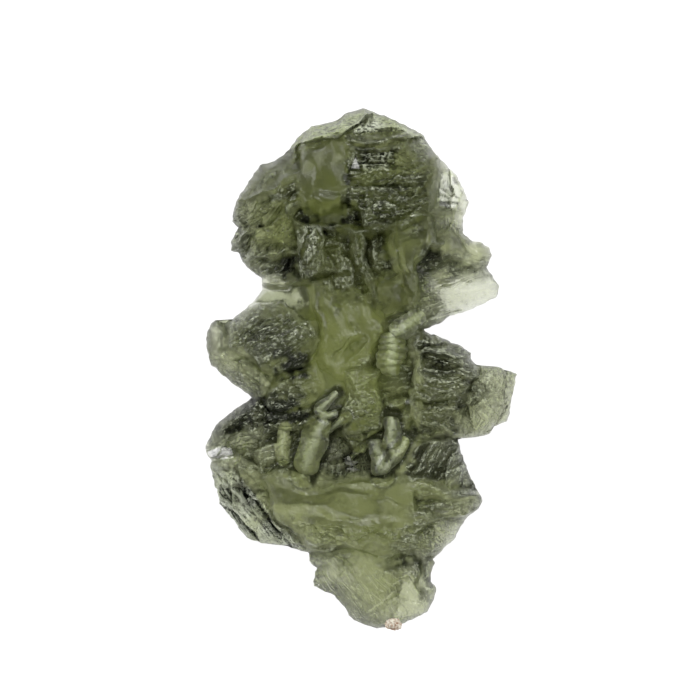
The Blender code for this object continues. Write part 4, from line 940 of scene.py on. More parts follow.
def closed_rows(points):
    """Faces of a tube of rows by columns points, closed by one fan at each end."""
    rows, columns = points.shape[:2]
    at = np.arange(rows * columns).reshape(rows, columns)
    right = np.roll(at, -1, axis=1)
    quads = np.stack([at[:-1], right[:-1], right[1:], at[1:]], axis=-1).reshape(-1, 4)
    return points.reshape(-1, 3), quads.tolist() + [at[0][::-1].tolist(), at[-1].tolist()]


def columns_of(left, right, count):
    """X across each row: an even grid over the whole stone, pressed together beyond the row's ends."""
    grid = np.linspace(corners[:, 0].min(), corners[:, 0].max(), count)
    held = np.clip(grid, left[:, None], right[:, None])
    x = held + PRESSED * (grid - held)
    share = (x - x[:, :1]) / (x[:, -1:] - x[:, :1])
    return left[:, None] + (right - left)[:, None] * share


def stone_rows():
    """The stone as rows of points, each back across the underside and then across the shown side."""
    edge = 0.01
    y = np.arange(corners[:, 1].min() + edge, corners[:, 1].max(), ROW_STEP)
    left, right = outline_ends(y)
    sides = []
    for count, side, order in ((BELOW_COLUMNS, 1, -1), (SHOWN_COLUMNS, 0, 1)):
        x = columns_of(left, right, count)
        level = np.repeat(y[:, None], count, axis=1)
        sides.append(np.stack([x, level, both_sides(x, level)[side]], axis=-1)[:, ::order])
    return closed_rows(np.concatenate(sides, axis=1))


stone_points, stone_faces = stone_rows()
print("closed surface:", len(stone_points), "points")

# %% [markdown]
# ## Bars and rope
#
# Ground water ate the hollow out round the bars, so they stand up from it with round backs and steep
# sides. A height field makes such sides ragged, so each bar is a surface of its own: a circle carried
# along a bent path. `rings` ripples the radius, like the coils of a rope.

# %% Bars
AROUND = 20
ALONG = 60
WORN = 0.06              # how unevenly the bars are worn, as a share of their radius


def smooth_path(corners_list, count):
    """Points on a Catmull-Rom curve through the corners."""
    p = np.asarray(corners_list, float)
    p = np.vstack([2 * p[0] - p[1], p, 2 * p[-1] - p[-2]])
    spot = np.linspace(0, len(p) - 3, count)
    leg = np.minimum(spot.astype(int), len(p) - 4)
    t = (spot - leg)[:, None]
    a, b, c, d = (p[leg + k] for k in range(4))
    return 0.5 * (2 * b + (c - a) * t + (2 * a - 5 * b + 4 * c - d) * t**2 + (3 * b - a - 3 * c + d) * t**3)


def bar(path, radii, levels, rings=0.0, pitch=0.3):
    """A closed bar: centre(s) + radius(s) (cos(w) across + sin(w) up), its top at the levels given.

    The radius ripples by rings times the absolute sine of pi s length / pitch, and closes at both ends.
    """
    s = np.linspace(0, 1, ALONG)
    centre = smooth_path(path, ALONG)
    radius = np.interp(s, np.linspace(0, 1, len(radii)), radii)
    top = np.interp(s, np.linspace(0, 1, len(levels)), levels)
    length = np.hypot(*np.diff(centre, axis=0).T).sum()
    wear = WORN * swell((length * s, radius), 1.5, 0.3, seed=8)
    ripple = 1 + rings * np.abs(np.sin(np.pi * s * length / pitch)) + wear
    closing = np.sqrt(np.clip(1 - np.abs(2 * s - 1) ** 12, 0, None))
    way = np.gradient(centre, axis=0)
    across = np.stack([-way[:, 1], way[:, 0]], axis=1) / np.hypot(*way.T)[:, None]
    w = np.linspace(0, 2 * np.pi, AROUND, endpoint=False)
    full = (radius * ripple * np.maximum(closing, 0.02))[:, None]
    flat = centre[:, None, :] + across[:, None, :] * (full * np.cos(w))[..., None]
    height = (top - radius)[:, None] + full * np.sin(w)
    return closed_rows(np.concatenate([flat, height[..., None]], axis=2))


# Path, radii along it, heights of its top along it, and for the ropes the depth and pitch of their coils
BARS = [
    ([(-2.2, -2.5), (-2.7, -3.6), (-3.1, -4.7), (-3.5, -6.1)], [0.6, 0.82, 0.86, 0.68], [5.9, 6.4, 6.4,
                                                                                         5.9]),
    ([(-4.6, -3.3), (-4.8, -4.3), (-4.75, -5.2)], [0.3, 0.42, 0.3], [5.0, 5.2, 4.9]),
    ([(-1.5, -1.15), (-2.0, -1.7), (-2.6, -2.2), (-2.1, -2.55), (-1.4, -2.3)], [0.24, 0.34, 0.26], [6.2,
                                                                                                    6.3,
                                                                                                    6.1]),
    ([(-0.9, -2.6), (-1.4, -2.95), (-2.1, -3.6)], [0.24, 0.3, 0.22], [5.9, 6.0, 5.6]),
    ([(1.75, -2.6), (1.75, -3.6), (1.8, -4.6)], [0.45, 0.6, 0.5], [6.2, 6.3, 5.8]),
    ([(0.75, -3.9), (1.0, -4.8), (1.25, -6.1)], [0.4, 0.6, 0.62], [5.8, 6.1, 5.8]),
    ([(2.7, -3.9), (2.1, -4.8), (1.4, -5.7)], [0.3, 0.45, 0.4], [5.4, 5.8, 5.6]),
    ([(3.6, 3.6), (2.7, 2.9), (1.8, 2.3)], [0.45, 0.62, 0.6], [6.7, 7.1, 7.0], 0.08, 0.36),
    ([(0.3, -4.3), (0.0, -4.6), (-0.9, -5.2)], [0.18, 0.22, 0.15], [4.4, 4.3, 4.2]),
    ([(1.75, 2.5), (1.8, 1.6), (1.7, 0.6), (1.9, -0.2)], [0.6, 0.8, 0.76, 0.5], [6.9, 7.05, 6.95, 6.5],
     0.12, 0.42),
]
print(len(BARS), "bars")

# %% [markdown]
# ## Growing together
#
# The stone and its bars are one piece of glass, so a Boolean union of the closed surfaces makes one
# skin of them. Shells that only overlap would show walls inside the clear glass. The skin is then moved
# a little once more: layers at different heights slide past each other, which turns steep ledges into
# overhangs. Last, the flat parts of scales give up the triangles that they don't need, and the crisp
# edges keep theirs.

# %% Fuse
def mesh_from(name, points, faces):
    """A mesh of points in millimetres."""
    mesh = bpy.data.meshes.new(name)
    mesh.from_pydata(points.tolist(), [], faces)
    mesh.update()
    return mesh


def holder_of(mesh):
    """An object to hang modifiers on."""
    holder = bpy.data.objects.new(mesh.name, mesh)
    bpy.context.scene.collection.objects.link(holder)
    return holder


def result_of(holder):
    """The mesh that an object's modifiers make."""
    return bpy.data.meshes.new_from_object(holder.evaluated_get(bpy.context.evaluated_depsgraph_get()))


def united(body, parts):
    """One closed mesh of a body and the parts that stick in it."""
    body, parts = holder_of(body), [holder_of(part) for part in parts]
    for part in parts:
        union = body.modifiers.new("union", "BOOLEAN")
        union.operation = "UNION"
        union.solver = "MANIFOLD"
        union.object = part
    made = result_of(body)
    for each in [body, *parts]:
        bpy.data.objects.remove(each)
    return made


stone_surface = mesh_from("moldavite", stone_points, stone_faces)
fused = united(stone_surface, [mesh_from("bar", *bar(*each)) for each in BARS])
print("fused skin:", len(fused.vertices), "points")

# %% Slide the layers
SLIDE = 0.12             # how far layers slide past each other
LAYERS = 1.6             # how much faster the slide changes with height than along the plan
SLIDE_FROM = 0.8         # how far in from the outline the layers slide in full
JAG = 0.05               # how far the rim's fine teeth stand out
SETTLE_BELOW = 0.05      # whatever is lower than this is on the flat spot


def read(mesh, name):
    """A mesh's point vectors as an array."""
    flat = np.empty(3 * len(mesh.vertices))
    mesh.vertices.foreach_get(name, flat)
    return flat.reshape(-1, 3)


def slid(points):
    """Points moved sideways by a swell that changes with height, and kept on the flat spot."""
    x, y, z = points.T
    place = (x, y, LAYERS * z)
    moved = points.copy()
    inner = ease(depth_inside(x, y, OUTLINE) / SLIDE_FROM)
    moved[:, 0] += SLIDE * inner * swell(place, 2.4, 0.7, seed=51)
    moved[:, 1] += SLIDE * inner * swell(place, 2.4, 0.7, seed=52)
    for k in (0, 1):
        moved[:, k] += JAG * (1 - inner) * swell((x, y), 0.9, 0.25, seed=54 + k)
    moved[:, 2] = np.where(points[:, 2] < SETTLE_BELOW, 0, np.maximum(moved[:, 2], 0))
    return moved


fused.vertices.foreach_set("co", slid(read(fused, "co")).ravel())
fused.update()
print("moved", len(fused.vertices), "points")

# %% Thin the skin out
TRIANGLES = 196000       # what the skin keeps
DOWN_GRADES = 4          # grades of facing down
DOWN_FIRST = 0.002       # how much sooner the underside is thinned


def thinned(mesh, ratio):
    """The mesh with a share of its triangles, thinned first where it faces down.

    How far a point faces down is 0.5 - 2 times the height of its normal, in grades.
    """
    holder = holder_of(mesh)
    down = np.clip(0.5 - 2 * read(mesh, "normal")[:, 2], 0.01, 1)
    group = holder.vertex_groups.new(name="down")
    grade = np.ceil(down * DOWN_GRADES).astype(int)
    for step in range(1, DOWN_GRADES + 1):
        group.add(np.flatnonzero(grade == step).tolist(), step / DOWN_GRADES, "REPLACE")
    thinning = holder.modifiers.new("thinning", "DECIMATE")
    thinning.ratio = ratio
    thinning.use_collapse_triangulate = True
    thinning.vertex_group = group.name
    thinning.vertex_group_factor = DOWN_FIRST
    made = result_of(holder)
    bpy.data.objects.remove(holder)
    return made


triangles = sum(len(face.vertices) - 2 for face in fused.polygons)
stone_mesh = thinned(fused, min(1, TRIANGLES / triangles))
print("stone:", len(stone_mesh.polygons), "triangles")

# %% [markdown]
# ## Matt and smooth ground
#
# Etching left most of the skin matt and grey. It spared the broad smooth windows. Where the glass once
# flowed, thin dark lines of painted shadow are drawn, and painted gloom, painted shadow and painted
# glints darken or light other parts of the ground. A picture wrapped round the stone could hold all this,
# but it would smear down steep walls. So each point of the skin is set against the outlines on the plan,
# and keeps what it finds as attributes, which the glass reads.

# %% Windows, patches and lines
# Smooth windows, less etched and almost free of painted gloom
SMOOTH = [
    [(-3.3, 13.2), (-2.6, 13.9), (-1.7, 13.7), (-1.1, 12.4), (-1.1, 10.9), (-1.5, 10.1), (-2.3, 9.8),
     (-3.0, 10.2), (-3.0, 11.6)],
    [(-6.0, -6.4), (-4.5, -6.1), (-2.0, -6.5), (1.0, -6.4), (3.0, -6.6), (3.9, -7.1), (2.8, -7.7),
     (3.2, -8.6), (2.0, -9.2), (-0.5, -9.3), (-2.6, -9.0), (-4.2, -8.6), (-5.3, -7.6)],
    [(-1.2, -9.4), (0.6, -9.0), (2.2, -9.6), (1.8, -10.8), (2.2, -11.8), (-0.8, -11.8), (-1.6, -10.6)],
    [(-2.7, 4.2), (0.4, 4.4), (1.3, 3.0), (0.3, 1.0), (0.2, -0.4), (-2.0, 0), (-2.6, 2)],
    [(-6.2, 5.3), (-3.2, 5.2), (-3.2, 3.4), (-7.2, 3.9)],
    [(2.0, 8.2), (3.9, 8.7), (3.2, 7.2), (2.8, 6.0), (2.3, 6.4)],
    [(4.0, 3.6), (3.9, 5.8), (5.2, 6.2), (7.3, 6.1), (8.3, 5.0), (7, 3.7)],
    [(-7.3, 10.2), (-5.8, 10.5), (-4.6, 9.8), (-5.2, 8.7), (-6.4, 8.8)],
    [(-2.8, -11.2), (3.4, -11.9), (3.5, -15), (-1, -15)],
    [(4.3, 12.6), (5.6, 12.2), (6.4, 10.6), (6.0, 9.5), (4.4, 9.6)],
    [(-9.6, 3.3), (-8.2, 3.2), (-8.1, 0.9), (-9.6, 0.4)],
    [(2.1, 13.8), (3.7, 13.0), (3.9, 11.8), (2.1, 11.8)],
    [(-8.4, 10.5), (-7.0, 10.2), (-4.2, 12.1), (-3.0, 14.2), (-4, 15.5), (-8, 13)],
]

# Local patches of painted shade, darker, 1, or clearer, 0, than their region; those darker than a half also
# get painted shadow
PATCHES = [
    (0.75, [(-6.2, 7.1), (-3.6, 7.1), (-3.4, 6.0), (-5.8, 6.0)]),
    (1.0, [(-4.9, 1.3), (-3.1, 1.0), (-2.9, 0.0), (-4.8, 0.0)]),
    (0.65, [(3.7, 7.9), (5.0, 7.9), (5.0, 6.2), (3.7, 5.8)]),
    (0.65, [(4.9, 6.9), (7.4, 6.8), (8.2, 5.4), (7.4, 5.6), (6.6, 6.0), (4.9, 6.0)]),
    (0.85, [(-9.9, -4.3), (-8.9, -2.8), (-7.0, -1.2), (-2.6, -2.0), (-2.6, -3.0), (-6.6, -3.0),
            (-7.9, -3.7), (-9.0, -4.5)]),
    (0.75, [(-0.3, 13.4), (2.1, 13.4), (2.1, 12.95), (-0.3, 12.95)]),
    (0.9, [(-3.6, 9.6), (-0.9, 9.9), (-0.6, 9.0), (-3.2, 8.8)]),
    (0.9, [(-1.3, 12.3), (-0.6, 12.3), (-0.5, 10.0), (-1.1, 10.2)]),
    (0.1, [(-7.3, 10.2), (-5.8, 10.5), (-4.6, 9.8), (-5.2, 8.7), (-6.4, 8.8)]),
    (0.1, [(-6.2, 8.4), (-4.2, 9.4), (-3.9, 7.4), (-6.2, 7.2)]),
    (0.7, [(1.0, -11.0), (4.1, -11.1), (4.0, -12.0), (1.2, -11.9)]),
    (0.8, [(3.4, -11.4), (3.9, -11.4), (3.9, -13.6), (3.4, -13.6)]),
    (0.1, [(-8.9, -5.0), (-8.2, -3.6), (-7.2, -3.3), (-6.6, -4.2), (-7.2, -5.2)]),
    (0.8, [(-9.3, 2.9), (-8.3, 3.0), (-8.0, 1.2), (-8.4, 1.2), (-8.5, 2.4), (-9.0, 2.5)]),
]

# Painted shadow lines where the glass once flowed: centre that they bend round, pitch, strength, and
# outline
FLOW_LINES = [
    ((0.15, -1.2), 0.38, 0.9, [(-1.2, -1.8), (1.4, -1.8), (1.4, -3.2), (0.5, -4.9), (-0.9, -4.9),
                               (-1.2, -3.4)]),
    ((1.75, 4.0), 0.36, 0.7, [(1.1, 2.6), (2.5, 2.6), (2.4, -0.2), (1.1, -0.2)]),
    ((-5.2, 0.9), 0.4, 0.7, [(-8.1, 2.6), (-7.0, 4.2), (-4.0, 4.2), (-2.7, 2.6), (-4.4, 2.0),
                             (-7.6, 1.4)]),
    ((-11.0, -5.0), 0.42, 0.6, [(-8.8, 1.2), (-6.6, 0.6), (-5.6, -0.4), (-6.4, -1.8), (-9.4, 0.4)]),
    ((-1.0, -34.0), 0.7, 0.3, [(-6, -6.4), (3.4, -6.4), (3.4, -9.2), (-4.6, -9.2)]),
    ((-4.2, -15.5), 0.6, 0.35, [(-3.4, -10.8), (2.6, -10.8), (2.2, -15.6), (-2, -15)]),
    ((0.0, 60.0), 0.42, 0.6, [(-0.9, 13.7), (4.2, 13.4), (4.2, 9.2), (2.8, 8.5), (0.0, 8.4),
                              (-0.9, 9.8)]),
    ((-36.6, -34.8), 0.55, 0.3, [(-9.6, -5.2), (-6.4, -5.6), (-5.0, -8.6), (-2.4, -10.6), (-7.2, -10.2)]),
    ((3.0, -6.0), 0.6, 0.35, [(6.9, 0.6), (9.4, 0.2), (9.0, -2.8), (6.0, -4.2), (5.8, -2.0)]),
    ((-6.5, 0.5), 0.8, 0.35, [(-2.8, 5.2), (0.6, 5.2), (1.4, 3.0), (0.2, 0.0), (-2.2, 0.0)]),
    ((8.0, 40.0), 0.5, 0.5, [(3.2, 2.4), (6.8, 1.2), (7.0, -0.5), (5.8, -3.8), (3.2, -3.8)]),
    ((-40.0, 50.0), 0.6, 0.5, [(-8.0, 10.3), (-4.6, 11.6), (-3.8, 8.9), (-4.2, 5.8), (-7.6, 6.8)]),
    ((-20.0, -22.0), 0.5, 0.4, [(-8.8, -3.2), (-6.6, -1.8), (-2.8, -2.0), (-3.0, -5.8), (-6.0, -6.0)]),
]

# Painted highlights on small faces, how strongly they are painted, and their outlines: two in the recess,
# the brow, the flank, the drop and the tongue under the head, one beside the column's foot, three in the
# hollow, the chip at the left, and the thin window right of the head
GLINTS = [
    (1.5, [(-0.66, 12.1), (-0.4, 12.78), (-0.14, 12.1)]),
    (0.3, [(-0.1, 13.0), (1.9, 13.1), (1.9, 12.1), (0.0, 12.1)]),
    (0.38, [(-5, 13.2), (-1, 14.2), (2.4, 14.4), (4.4, 13), (3.6, 14.4), (0.3, 15.8), (-3, 14.8)]),
    (0.45, [(-9.8, -5.4), (-7.6, -5.7), (-6.4, -7.4), (-4.0, -9.6), (-3.4, -10.6), (-8.2, -10.4)]),
    (0.15, [(-3.5, 8.9), (-1.2, 8.9), (-1.4, 8.2), (-2.6, 8.1), (-2.5, 6.6), (-3.4, 6.2)]),
    (0.25, [(1.0, 7.4), (1.9, 7.2), (2.4, 5.2), (1.4, 5.6)]),
    (0.9, [(2.55, -1.65), (2.85, -1.6), (2.95, -1.85), (2.6, -1.9)]),
    (1.4, [(-1.1, -5.2), (-0.8, -5.0), (-0.6, -5.3), (-0.15, -5.4), (-0.55, -5.65), (-0.95, -5.5)]),
    (1.2, [(-1.0, -5.8), (-0.5, -5.7), (-0.1, -5.95), (-0.5, -5.95)]),
    (0.7, [(-0.2, -6.2), (0.6, -6.25), (0.6, -6.38), (-0.2, -6.34)]),
    (1.1, [(-9.4, -4.75), (-8.6, -4.45), (-7.9, -4.5), (-7.7, -5.1), (-8.4, -5.2), (-9.4, -5.05)]),
    (0.7, [(4.6, 12.0), (5.5, 11.9), (6.0, 10.8), (5.6, 9.8), (4.6, 10.0)]),
]
print(len(SMOOTH), "smooth windows,", len(PATCHES), "patches,", len(FLOW_LINES), "sets of flow lines")

# %% Ground
EDGE_WANDER = 0.5        # how far the edges of regions wander from their outlines
EDGE_BLEND = 0.8         # how wide those edges are
WINDOW_BLEND = 1.5       # the same for the edges of smooth windows
RAGGED = 0.45            # how ragged both are, as a share of their width
PLAIN_GLOOM = 0.2        # painted shade outside all regions
WINDOW_SPARES = 0.6      # share of the etching that a smooth window takes off
WINDOW_CLEARS = 0.9      # share of the painted gloom that it takes off
LINE_WIDTH = 0.18        # as a share of the pitch
LINE_WAVE = 0.35         # how far flow lines stray, in pitches
BAR_ETCHED = 0.4
# painted highlight along the top of a bar
BAR_GLINT = 0.45
# Ground beside a bar: how etched and how wide it is, and how much painted gloom and painted shadow it gets
GAP_ETCHED = 0.6         # beside a bar
GAP_WIDTH = 0.35
GAP_GLOOM = 0.9
ROPE_GAP_GLOOM = 0.4     # painted shade beside a rope
GLINT_EDGE = 0.15


def ground(place, normal):
    """How etched and down-facing each point is, how its ledges run, and its painted gloom, highlight and
    shadow.
    """
    x, y, z = place.T
    bend_x = x + EDGE_WANDER * swell((x, y), 2.6, 0.5, seed=41)
    bend_y = y + EDGE_WANDER * swell((x, y), 2.6, 0.5, seed=42)
    ragged = RAGGED * swell((x, y), 1.1, 0.3, seed=46)
    etched, gloom = np.zeros(len(x)), np.full(len(x), PLAIN_GLOOM)
    flow = np.tile((1.0, 0.0), (len(x), 1))
    bright, shadow = np.zeros(len(x)), np.zeros(len(x))

    def cover(outline, blend=EDGE_BLEND):
        return ease(depth_inside(bend_x, bend_y, outline) / blend + 0.5 + ragged)

    # Each etched region lays its painted gloom, a shade painted over its ground
    for shade, turn, outline in ETCHED.values():
        inside = cover(outline)
        etched = np.maximum(etched, inside)
        gloom = gloom + (shade - gloom) * inside
        along = (math.cos(math.radians(turn)), math.sin(math.radians(turn)))
        flow += (along - flow) * inside[:, None]
    for outline in SMOOTH:
        inside = cover(outline, WINDOW_BLEND)
        etched = etched * (1 - WINDOW_SPARES * inside)
        gloom = gloom * (1 - WINDOW_CLEARS * inside)
    for shade, outline in PATCHES:
        inside = cover(outline)
        gloom = gloom + (shade - gloom) * inside
        # Dark patches also lay painted shadow
        shadow = np.maximum(shadow, (2 * shade - 1) * inside)
    wave = LINE_WAVE * swell((x, y), 2.4, 0.6, seed=44)
    broken = ease(0.9 + swell((x, y), 1.5, 0.5, seed=45))
    for centre, pitch, strength, outline in FLOW_LINES:
        phase = np.hypot(bend_x - centre[0], bend_y - centre[1]) / pitch + wave
        line = np.exp(-((np.mod(phase, 1) - 0.5) / LINE_WIDTH) ** 2)
        shadow = np.maximum(shadow, strength * line * cover(outline) * broken)
    for path, radii, levels, *coils in BARS:
        away, share = nearest(x, y, path)
        gap = ROPE_GAP_GLOOM if coils else GAP_GLOOM
        radius = np.interp(share, np.linspace(0, 1, len(radii)), radii)
        top = np.interp(share, np.linspace(0, 1, len(levels)), levels)
        on_bar = (1 - ease((away - radius) / 0.15)) * ease((z - top + 1.5 * radius) / 0.2)
        # A bar gets painted shade down its sides and a painted highlight along its top, and the ground
        # beside it painted shade
        side = np.clip((top - z) / radius, 0, 1) ** 2
        beside = ease((radius + GAP_WIDTH - away) / 0.3) * (1 - on_bar)
        etched = etched + (BAR_ETCHED - etched) * on_bar + (GAP_ETCHED - etched) * beside
        gloom = gloom + (0.1 * side - gloom) * on_bar + (gap - gloom) * beside
        spine = on_bar * ease(1.3 - 2 * away / radius)
        bright = np.maximum(bright, BAR_GLINT * spine)
        shadow = np.maximum(shadow * (1 - on_bar), np.maximum(0.6 * side * on_bar, gap * beside))
    patchy = swell((x, y, z), 4.0, 0.7, seed=43)
    below = ease(-2 * normal[:, 2])
    etched = etched * (0.9 + 0.1 * patchy) * (1 - below)
    gloom = gloom + 0.3 * patchy * etched
    # Painted glints: paler, fuller frost on small up-facing faces, which also clears painted shadow
    for strength, outline in GLINTS:
        glint = strength * ease(depth_inside(x, y, outline) / GLINT_EDGE + 0.5) * ease(2.5 * normal[:, 2])
        bright = np.maximum(bright, glint)
        shadow = shadow * (1 - np.clip(glint, 0, 1))
    return {
        "etch": np.clip(etched, 0, 1),
        "gloom": np.clip(gloom * (1 - 0.8 * below), 0, 1),
        "sheen": bright * (1 - below),
        "shadow": shadow * (1 - below),
        "below": below,
        "flow_x": flow[:, 0],
        "flow_y": flow[:, 1],
    }


# %% Crests and valleys
def smoothed(points, edges, rounds):
    """The points after some rounds in which each takes the mean of itself and its neighbours."""
    ends = np.concatenate([edges[:, 0], edges[:, 1]])
    others = np.concatenate([edges[:, 1], edges[:, 0]])
    count = 1 + np.bincount(ends, minlength=len(points))
    for _ in range(rounds):
        sums = [part + np.bincount(ends, part[others], len(part)) for part in points.T]
        points = np.stack(sums, axis=1) / count[:, None]
    return points


def prominence(points, normals, edges, rounds, full):
    """How far each point stands out from its smoothed surroundings, as a share of full, -1 to 1."""
    out = np.einsum("ij,ij->i", points - smoothed(points, edges, rounds), normals)
    return np.clip(out / full, -1, 1)


# %% Ground attributes
SMOOTH_ROUGHNESS = 0.36
ETCHED_ROUGHNESS = 0.28
UNDERSIDE_ROUGHNESS = 0.45

points, normals = read(stone_mesh, "co"), read(stone_mesh, "normal")
points[:, 2] = np.where(points[:, 2] < SETTLE_BELOW, 0, points[:, 2])
ends = np.empty(2 * len(stone_mesh.edges), int)
stone_mesh.edges.foreach_get("vertices", ends)
ends = ends.reshape(-1, 2)
relief = ground(points, normals)
below = relief["below"]
skin_roughness = SMOOTH_ROUGHNESS + (ETCHED_ROUGHNESS - SMOOTH_ROUGHNESS) * relief["etch"]
relief["rough"] = skin_roughness * (1 - below) + UNDERSIDE_ROUGHNESS * below
# crest and valley carry painted light and shade: lighter frost on crests, darker in grooves, and darker
# glass and more frost in the valleys between forms
relief["crest"] = prominence(points, normals, ends, rounds=5, full=0.04) * (1 - below)
relief["valley"] = -prominence(points, normals, ends, rounds=120, full=0.5) * (1 - below)
for name, values in relief.items():
    stone_mesh.attributes.new(name, "FLOAT", "POINT").data.foreach_set("value", values)
    print(name, "from", round(float(values.min()), 2), "to", round(float(values.max()), 2))

# %% Put the stone in place
SHARP = 30               # edges that bend more than this many degrees stay crisp

stone_mesh.vertices.foreach_set("co", ((points + SHIFT) * MM).ravel())
stone_mesh.update()
stone_mesh.shade_smooth()
stone_mesh.set_sharp_from_angle(angle=math.radians(SHARP))
stone = bpy.data.objects.new("stone", stone_mesh)
bpy.context.scene.collection.objects.link(stone)
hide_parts("moldavite")
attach(stone, "root")
print("stone placed, lowest point at", points[:, 2].min(), "mm")

# %% [markdown]
# ## Green glass
#
# The colour is in the depth of the glass and not on its skin: thin edges are almost clear and the
# thick middle is bottle green. A green Base Color would tint both alike, so the surface is a plain
# clear Principled glass, and a Volume Absorption takes red and blue from light on its way through.
# Etched ground is frosted: part of it scatters light straight back. Its colour is painted lighter on
# its crests and darker in its grooves, and the glass's Base Color is painted darker in the valleys
# between forms.

# %% Glass
GLASS_KEEPS = (0.35, 0.39, 0.0)   # share of each colour that the depth lets by, before density
GLASS_DENSITY = 460.0
GLASS_IOR = 1.5
CLEAR = (0.97, 0.98, 0.95, 1)
PAINTED_SHADE_GLASS = (0.3, 0.33, 0.2, 1)       # painted shade on the glass in the valleys between forms, which sees only other glass, and under painted shadows
FROST_DARK = (0.02, 0.024, 0.01, 1)
FROST_PALE = (0.52, 0.56, 0.42, 1)
FROST_GREEN = (0.4, 0.47, 0.16, 1)  # where the ground has little painted gloom
FROST_ROUGHNESS = 0.35
# white of the strongest painted glints
GLINT_WHITE = (0.95, 0.95, 0.92, 1)
LEAST_FROST = 0.28                  # cover of the frost on clear etched ground, and on ground under painted gloom
MOST_FROST = 0.9
WIDE_LEDGES = 2300                  # ledges in a metre across the flow
THIN_LEDGES = 5200
DRIFT_SCALE = 1400.0                # of the noise that bends them
GRAIN_SCALE = 5500.0
DIMPLE_SCALE = 5200.0
BUMP_HEIGHT = 0.00014


def green_glass():
    """Clear glass under a thin broken frost, with cover and colour from the ground attributes."""
    material = bpy.data.materials.new("green_glass")
    finish = Finish(material)
    here = finish.add("ShaderNodeTexCoord", output=3)
    etch, gloom, sheen, shadow, crest, valley, rough, flow_x, flow_y = (
        finish.add("ShaderNodeAttribute", {"attribute_name": name}, output=2)
        for name in ("etch", "gloom", "sheen", "shadow", "crest", "valley", "rough", "flow_x", "flow_y"))
    x, y, z = (finish.add("ShaderNodeSeparateXYZ", None, here, output=k) for k in range(3))
    along, across = x * flow_x + y * flow_y, y * flow_x - x * flow_y
    stretched = finish.add("ShaderNodeCombineXYZ", None, 0.3 * along, across, z)
    drift = finish.add("ShaderNodeTexNoise", None, stretched, Scale=DRIFT_SCALE, Detail=2.0)
    wide = finish.ledges(across * WIDE_LEDGES + 3.0 * drift)
    thin = finish.ledges(across * THIN_LEDGES + 6.0 * drift + along * 800)
    grain = finish.add("ShaderNodeTexNoise", None, here, Scale=GRAIN_SCALE, Detail=2.0, Roughness=0.65)
    dimples = finish.add("ShaderNodeTexVoronoi", None, here, Scale=DIMPLE_SCALE)
    chance = Value(finish, dimples.socket.node.outputs["Color"])
    # sparks: tiny painted glints at the middles of the dimples, which lighten the frost and its cover
    sparks = finish.clamp(1.2 - 3.5 * dimples) * finish.clamp(6.0 * (chance - 0.5))
    bumps = etch * (0.6 * wide + 0.3 * thin) + (0.15 + 0.35 * etch) * (grain + 0.7 * dimples)
    normal = finish.add("ShaderNodeBump", None, Strength=1.0, Distance=BUMP_HEIGHT, Height=bumps)
    # The clear glass's Base Color darkens with painted shade in valleys and under painted shadows
    tint = finish.mix(finish.clamp(1.3 * valley + shadow), CLEAR, PAINTED_SHADE_GLASS)
    glass = finish.add("ShaderNodeBsdfPrincipled", None, tint, Roughness=rough,
                       IOR=GLASS_IOR, Transmission_Weight=1.0, Normal=normal)
    # The frost's colour: random grain and bands along the ledges, lighter with painted light on crests,
    # sparks and glints, darker with painted shade in grooves and under painted gloom and shadow
    lines = 0.9 * (wide - 0.5) + 0.6 * (thin - 0.5)
    calm = finish.clamp(1.0 - 0.5 * gloom - 0.9 * sheen)
    pale = calm * (8.5 * (grain - 0.5) + 1.5 * sparks) + 0.6 * crest + lines
    pale = pale - 0.35 * gloom - 0.6 * shadow + 2.0 * sheen + 0.2
    # Frost green on plain ground, greyer under painted gloom and sheen, white under strong painted glints
    light = finish.mix(finish.clamp(2.0 * gloom + 0.5 * sheen), FROST_GREEN, FROST_PALE)
    light = finish.mix(finish.clamp(1.5 * sheen - 0.5), light, GLINT_WHITE)
    shade = finish.mix(finish.clamp(pale), FROST_DARK, light)
    frost = finish.add("ShaderNodeBsdfPrincipled", None, shade, Roughness=FROST_ROUGHNESS,
                       IOR=GLASS_IOR, Normal=normal)
    # The frost covers more under painted gloom, in painted valley shade and on crests
    deep = finish.clamp(gloom + 0.5 * valley + 0.1 * crest)
    cover = etch * (LEAST_FROST + (MOST_FROST - LEAST_FROST) * deep)
    cover = finish.clamp(cover + 0.9 * sheen + 0.45 * shadow + (0.15 + 0.4 * etch) * sparks)
    both = finish.add("ShaderNodeMixShader", None, cover, glass, frost)
    volume = finish.add("ShaderNodeVolumeAbsorption", None, (*GLASS_KEEPS, 1), GLASS_DENSITY)
    finish.add("ShaderNodeOutputMaterial", None, both, volume)
    return material


stone_mesh.materials.clear()   # the union leaves an empty slot in front
stone_mesh.materials.append(green_glass())
print("glass ready:", [material.name for material in stone_mesh.materials])

# %% [markdown]
# ## The crumb of clay
#
# A pale crumb of the ground that the stone lay in is still caught on the tip of the tail. It is too
# small to carve face by face: a ball with a lumpy radius and a dull speckled finish is enough.

# %% Crumb
CRUMB_ROWS = 40
CRUMB_COLUMNS = 64
POLE_GAP = 0.02          # how far the first and last rows are from the poles, in radians
CRUMB_BALL = 0.86        # the ball's radius before its lumps, as a share of the solid's
CRUMB_CLEARANCE = 0.12   # how far the solid stands off the glass, which the visible crumb closes


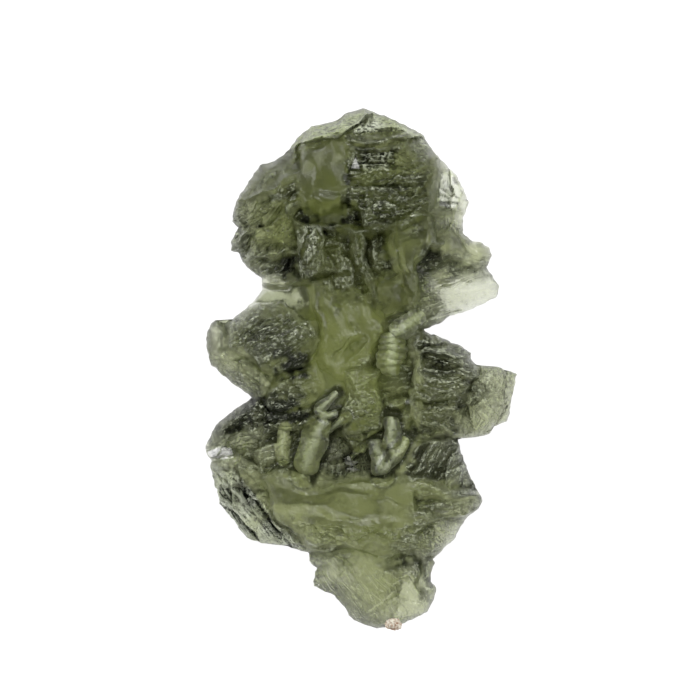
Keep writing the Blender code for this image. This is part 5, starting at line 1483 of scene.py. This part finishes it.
def crumb_surface(at, radii):
    """A ball whose radius ripples: radii times (1 + swell), on a grid of latitude and longitude."""
    lat = np.linspace(POLE_GAP, np.pi - POLE_GAP, CRUMB_ROWS)[:, None]
    lon = np.linspace(0, 2 * np.pi, CRUMB_COLUMNS, endpoint=False)[None, :]
    ball = np.stack([np.sin(lat) * np.cos(lon), np.sin(lat) * np.sin(lon), -np.cos(lat) + 0 * lon], axis=-1)
    x, y, z = np.moveaxis(ball, -1, 0)
    lumpy = 1 + 0.25 * swell((x, y, z), 2.0, 0.5, seed=61) + 0.08 * swell((x, y, z), 0.4, 0.15, seed=62)
    return closed_rows(ball * lumpy[..., None] * radii + at)


crumb_low, crumb_high = (np.array(end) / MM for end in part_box("clay_crumb"))
crumb_half = (crumb_high - crumb_low) / 2
crumb_middle = (crumb_high + crumb_low) / 2 - (0, 0, CRUMB_CLEARANCE)
crumb_mesh = mesh_from("crumb", *crumb_surface(crumb_middle, CRUMB_BALL * crumb_half))
crumb_mesh.transform(((MM, 0, 0, 0), (0, MM, 0, 0), (0, 0, MM, 0), (0, 0, 0, 1)))
crumb_mesh.shade_smooth()
print("crumb:", len(crumb_mesh.vertices), "points")

# %% Clay
# Place and colour, from the lowest speckle to the highest
CLAY_STOPS = [(0.35, (0.3, 0.17, 0.1)), (0.48, (0.5, 0.41, 0.32)), (0.6, (0.7, 0.66, 0.56))]
CLAY_SPECKLE = 6000.0    # scale of its grains
CLAY_BUMP = 0.00006


def clay():
    """Dry clay: pale pinkish beige, darker and browner where its speckle is low, which the bump also sinks.
    """
    material = bpy.data.materials.new("clay")
    finish = Finish(material)
    here = finish.add("ShaderNodeTexCoord", output=3)
    speckle = finish.add("ShaderNodeTexNoise", None, here, Scale=CLAY_SPECKLE, Detail=4.0)
    colour = finish.add("ShaderNodeValToRGB", {"stops": CLAY_STOPS}, speckle)
    normal = finish.add("ShaderNodeBump", None, Strength=0.7, Distance=CLAY_BUMP, Height=speckle)
    shader = finish.add("ShaderNodeBsdfPrincipled", None, colour, Roughness=0.92, Normal=normal)
    finish.add("ShaderNodeOutputMaterial", None, shader)
    return material


crumb_mesh.materials.append(clay())
crumb = bpy.data.objects.new("crumb", crumb_mesh)
bpy.context.scene.collection.objects.link(crumb)
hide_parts("clay_crumb")
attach(crumb, "root")
print("crumb ready")
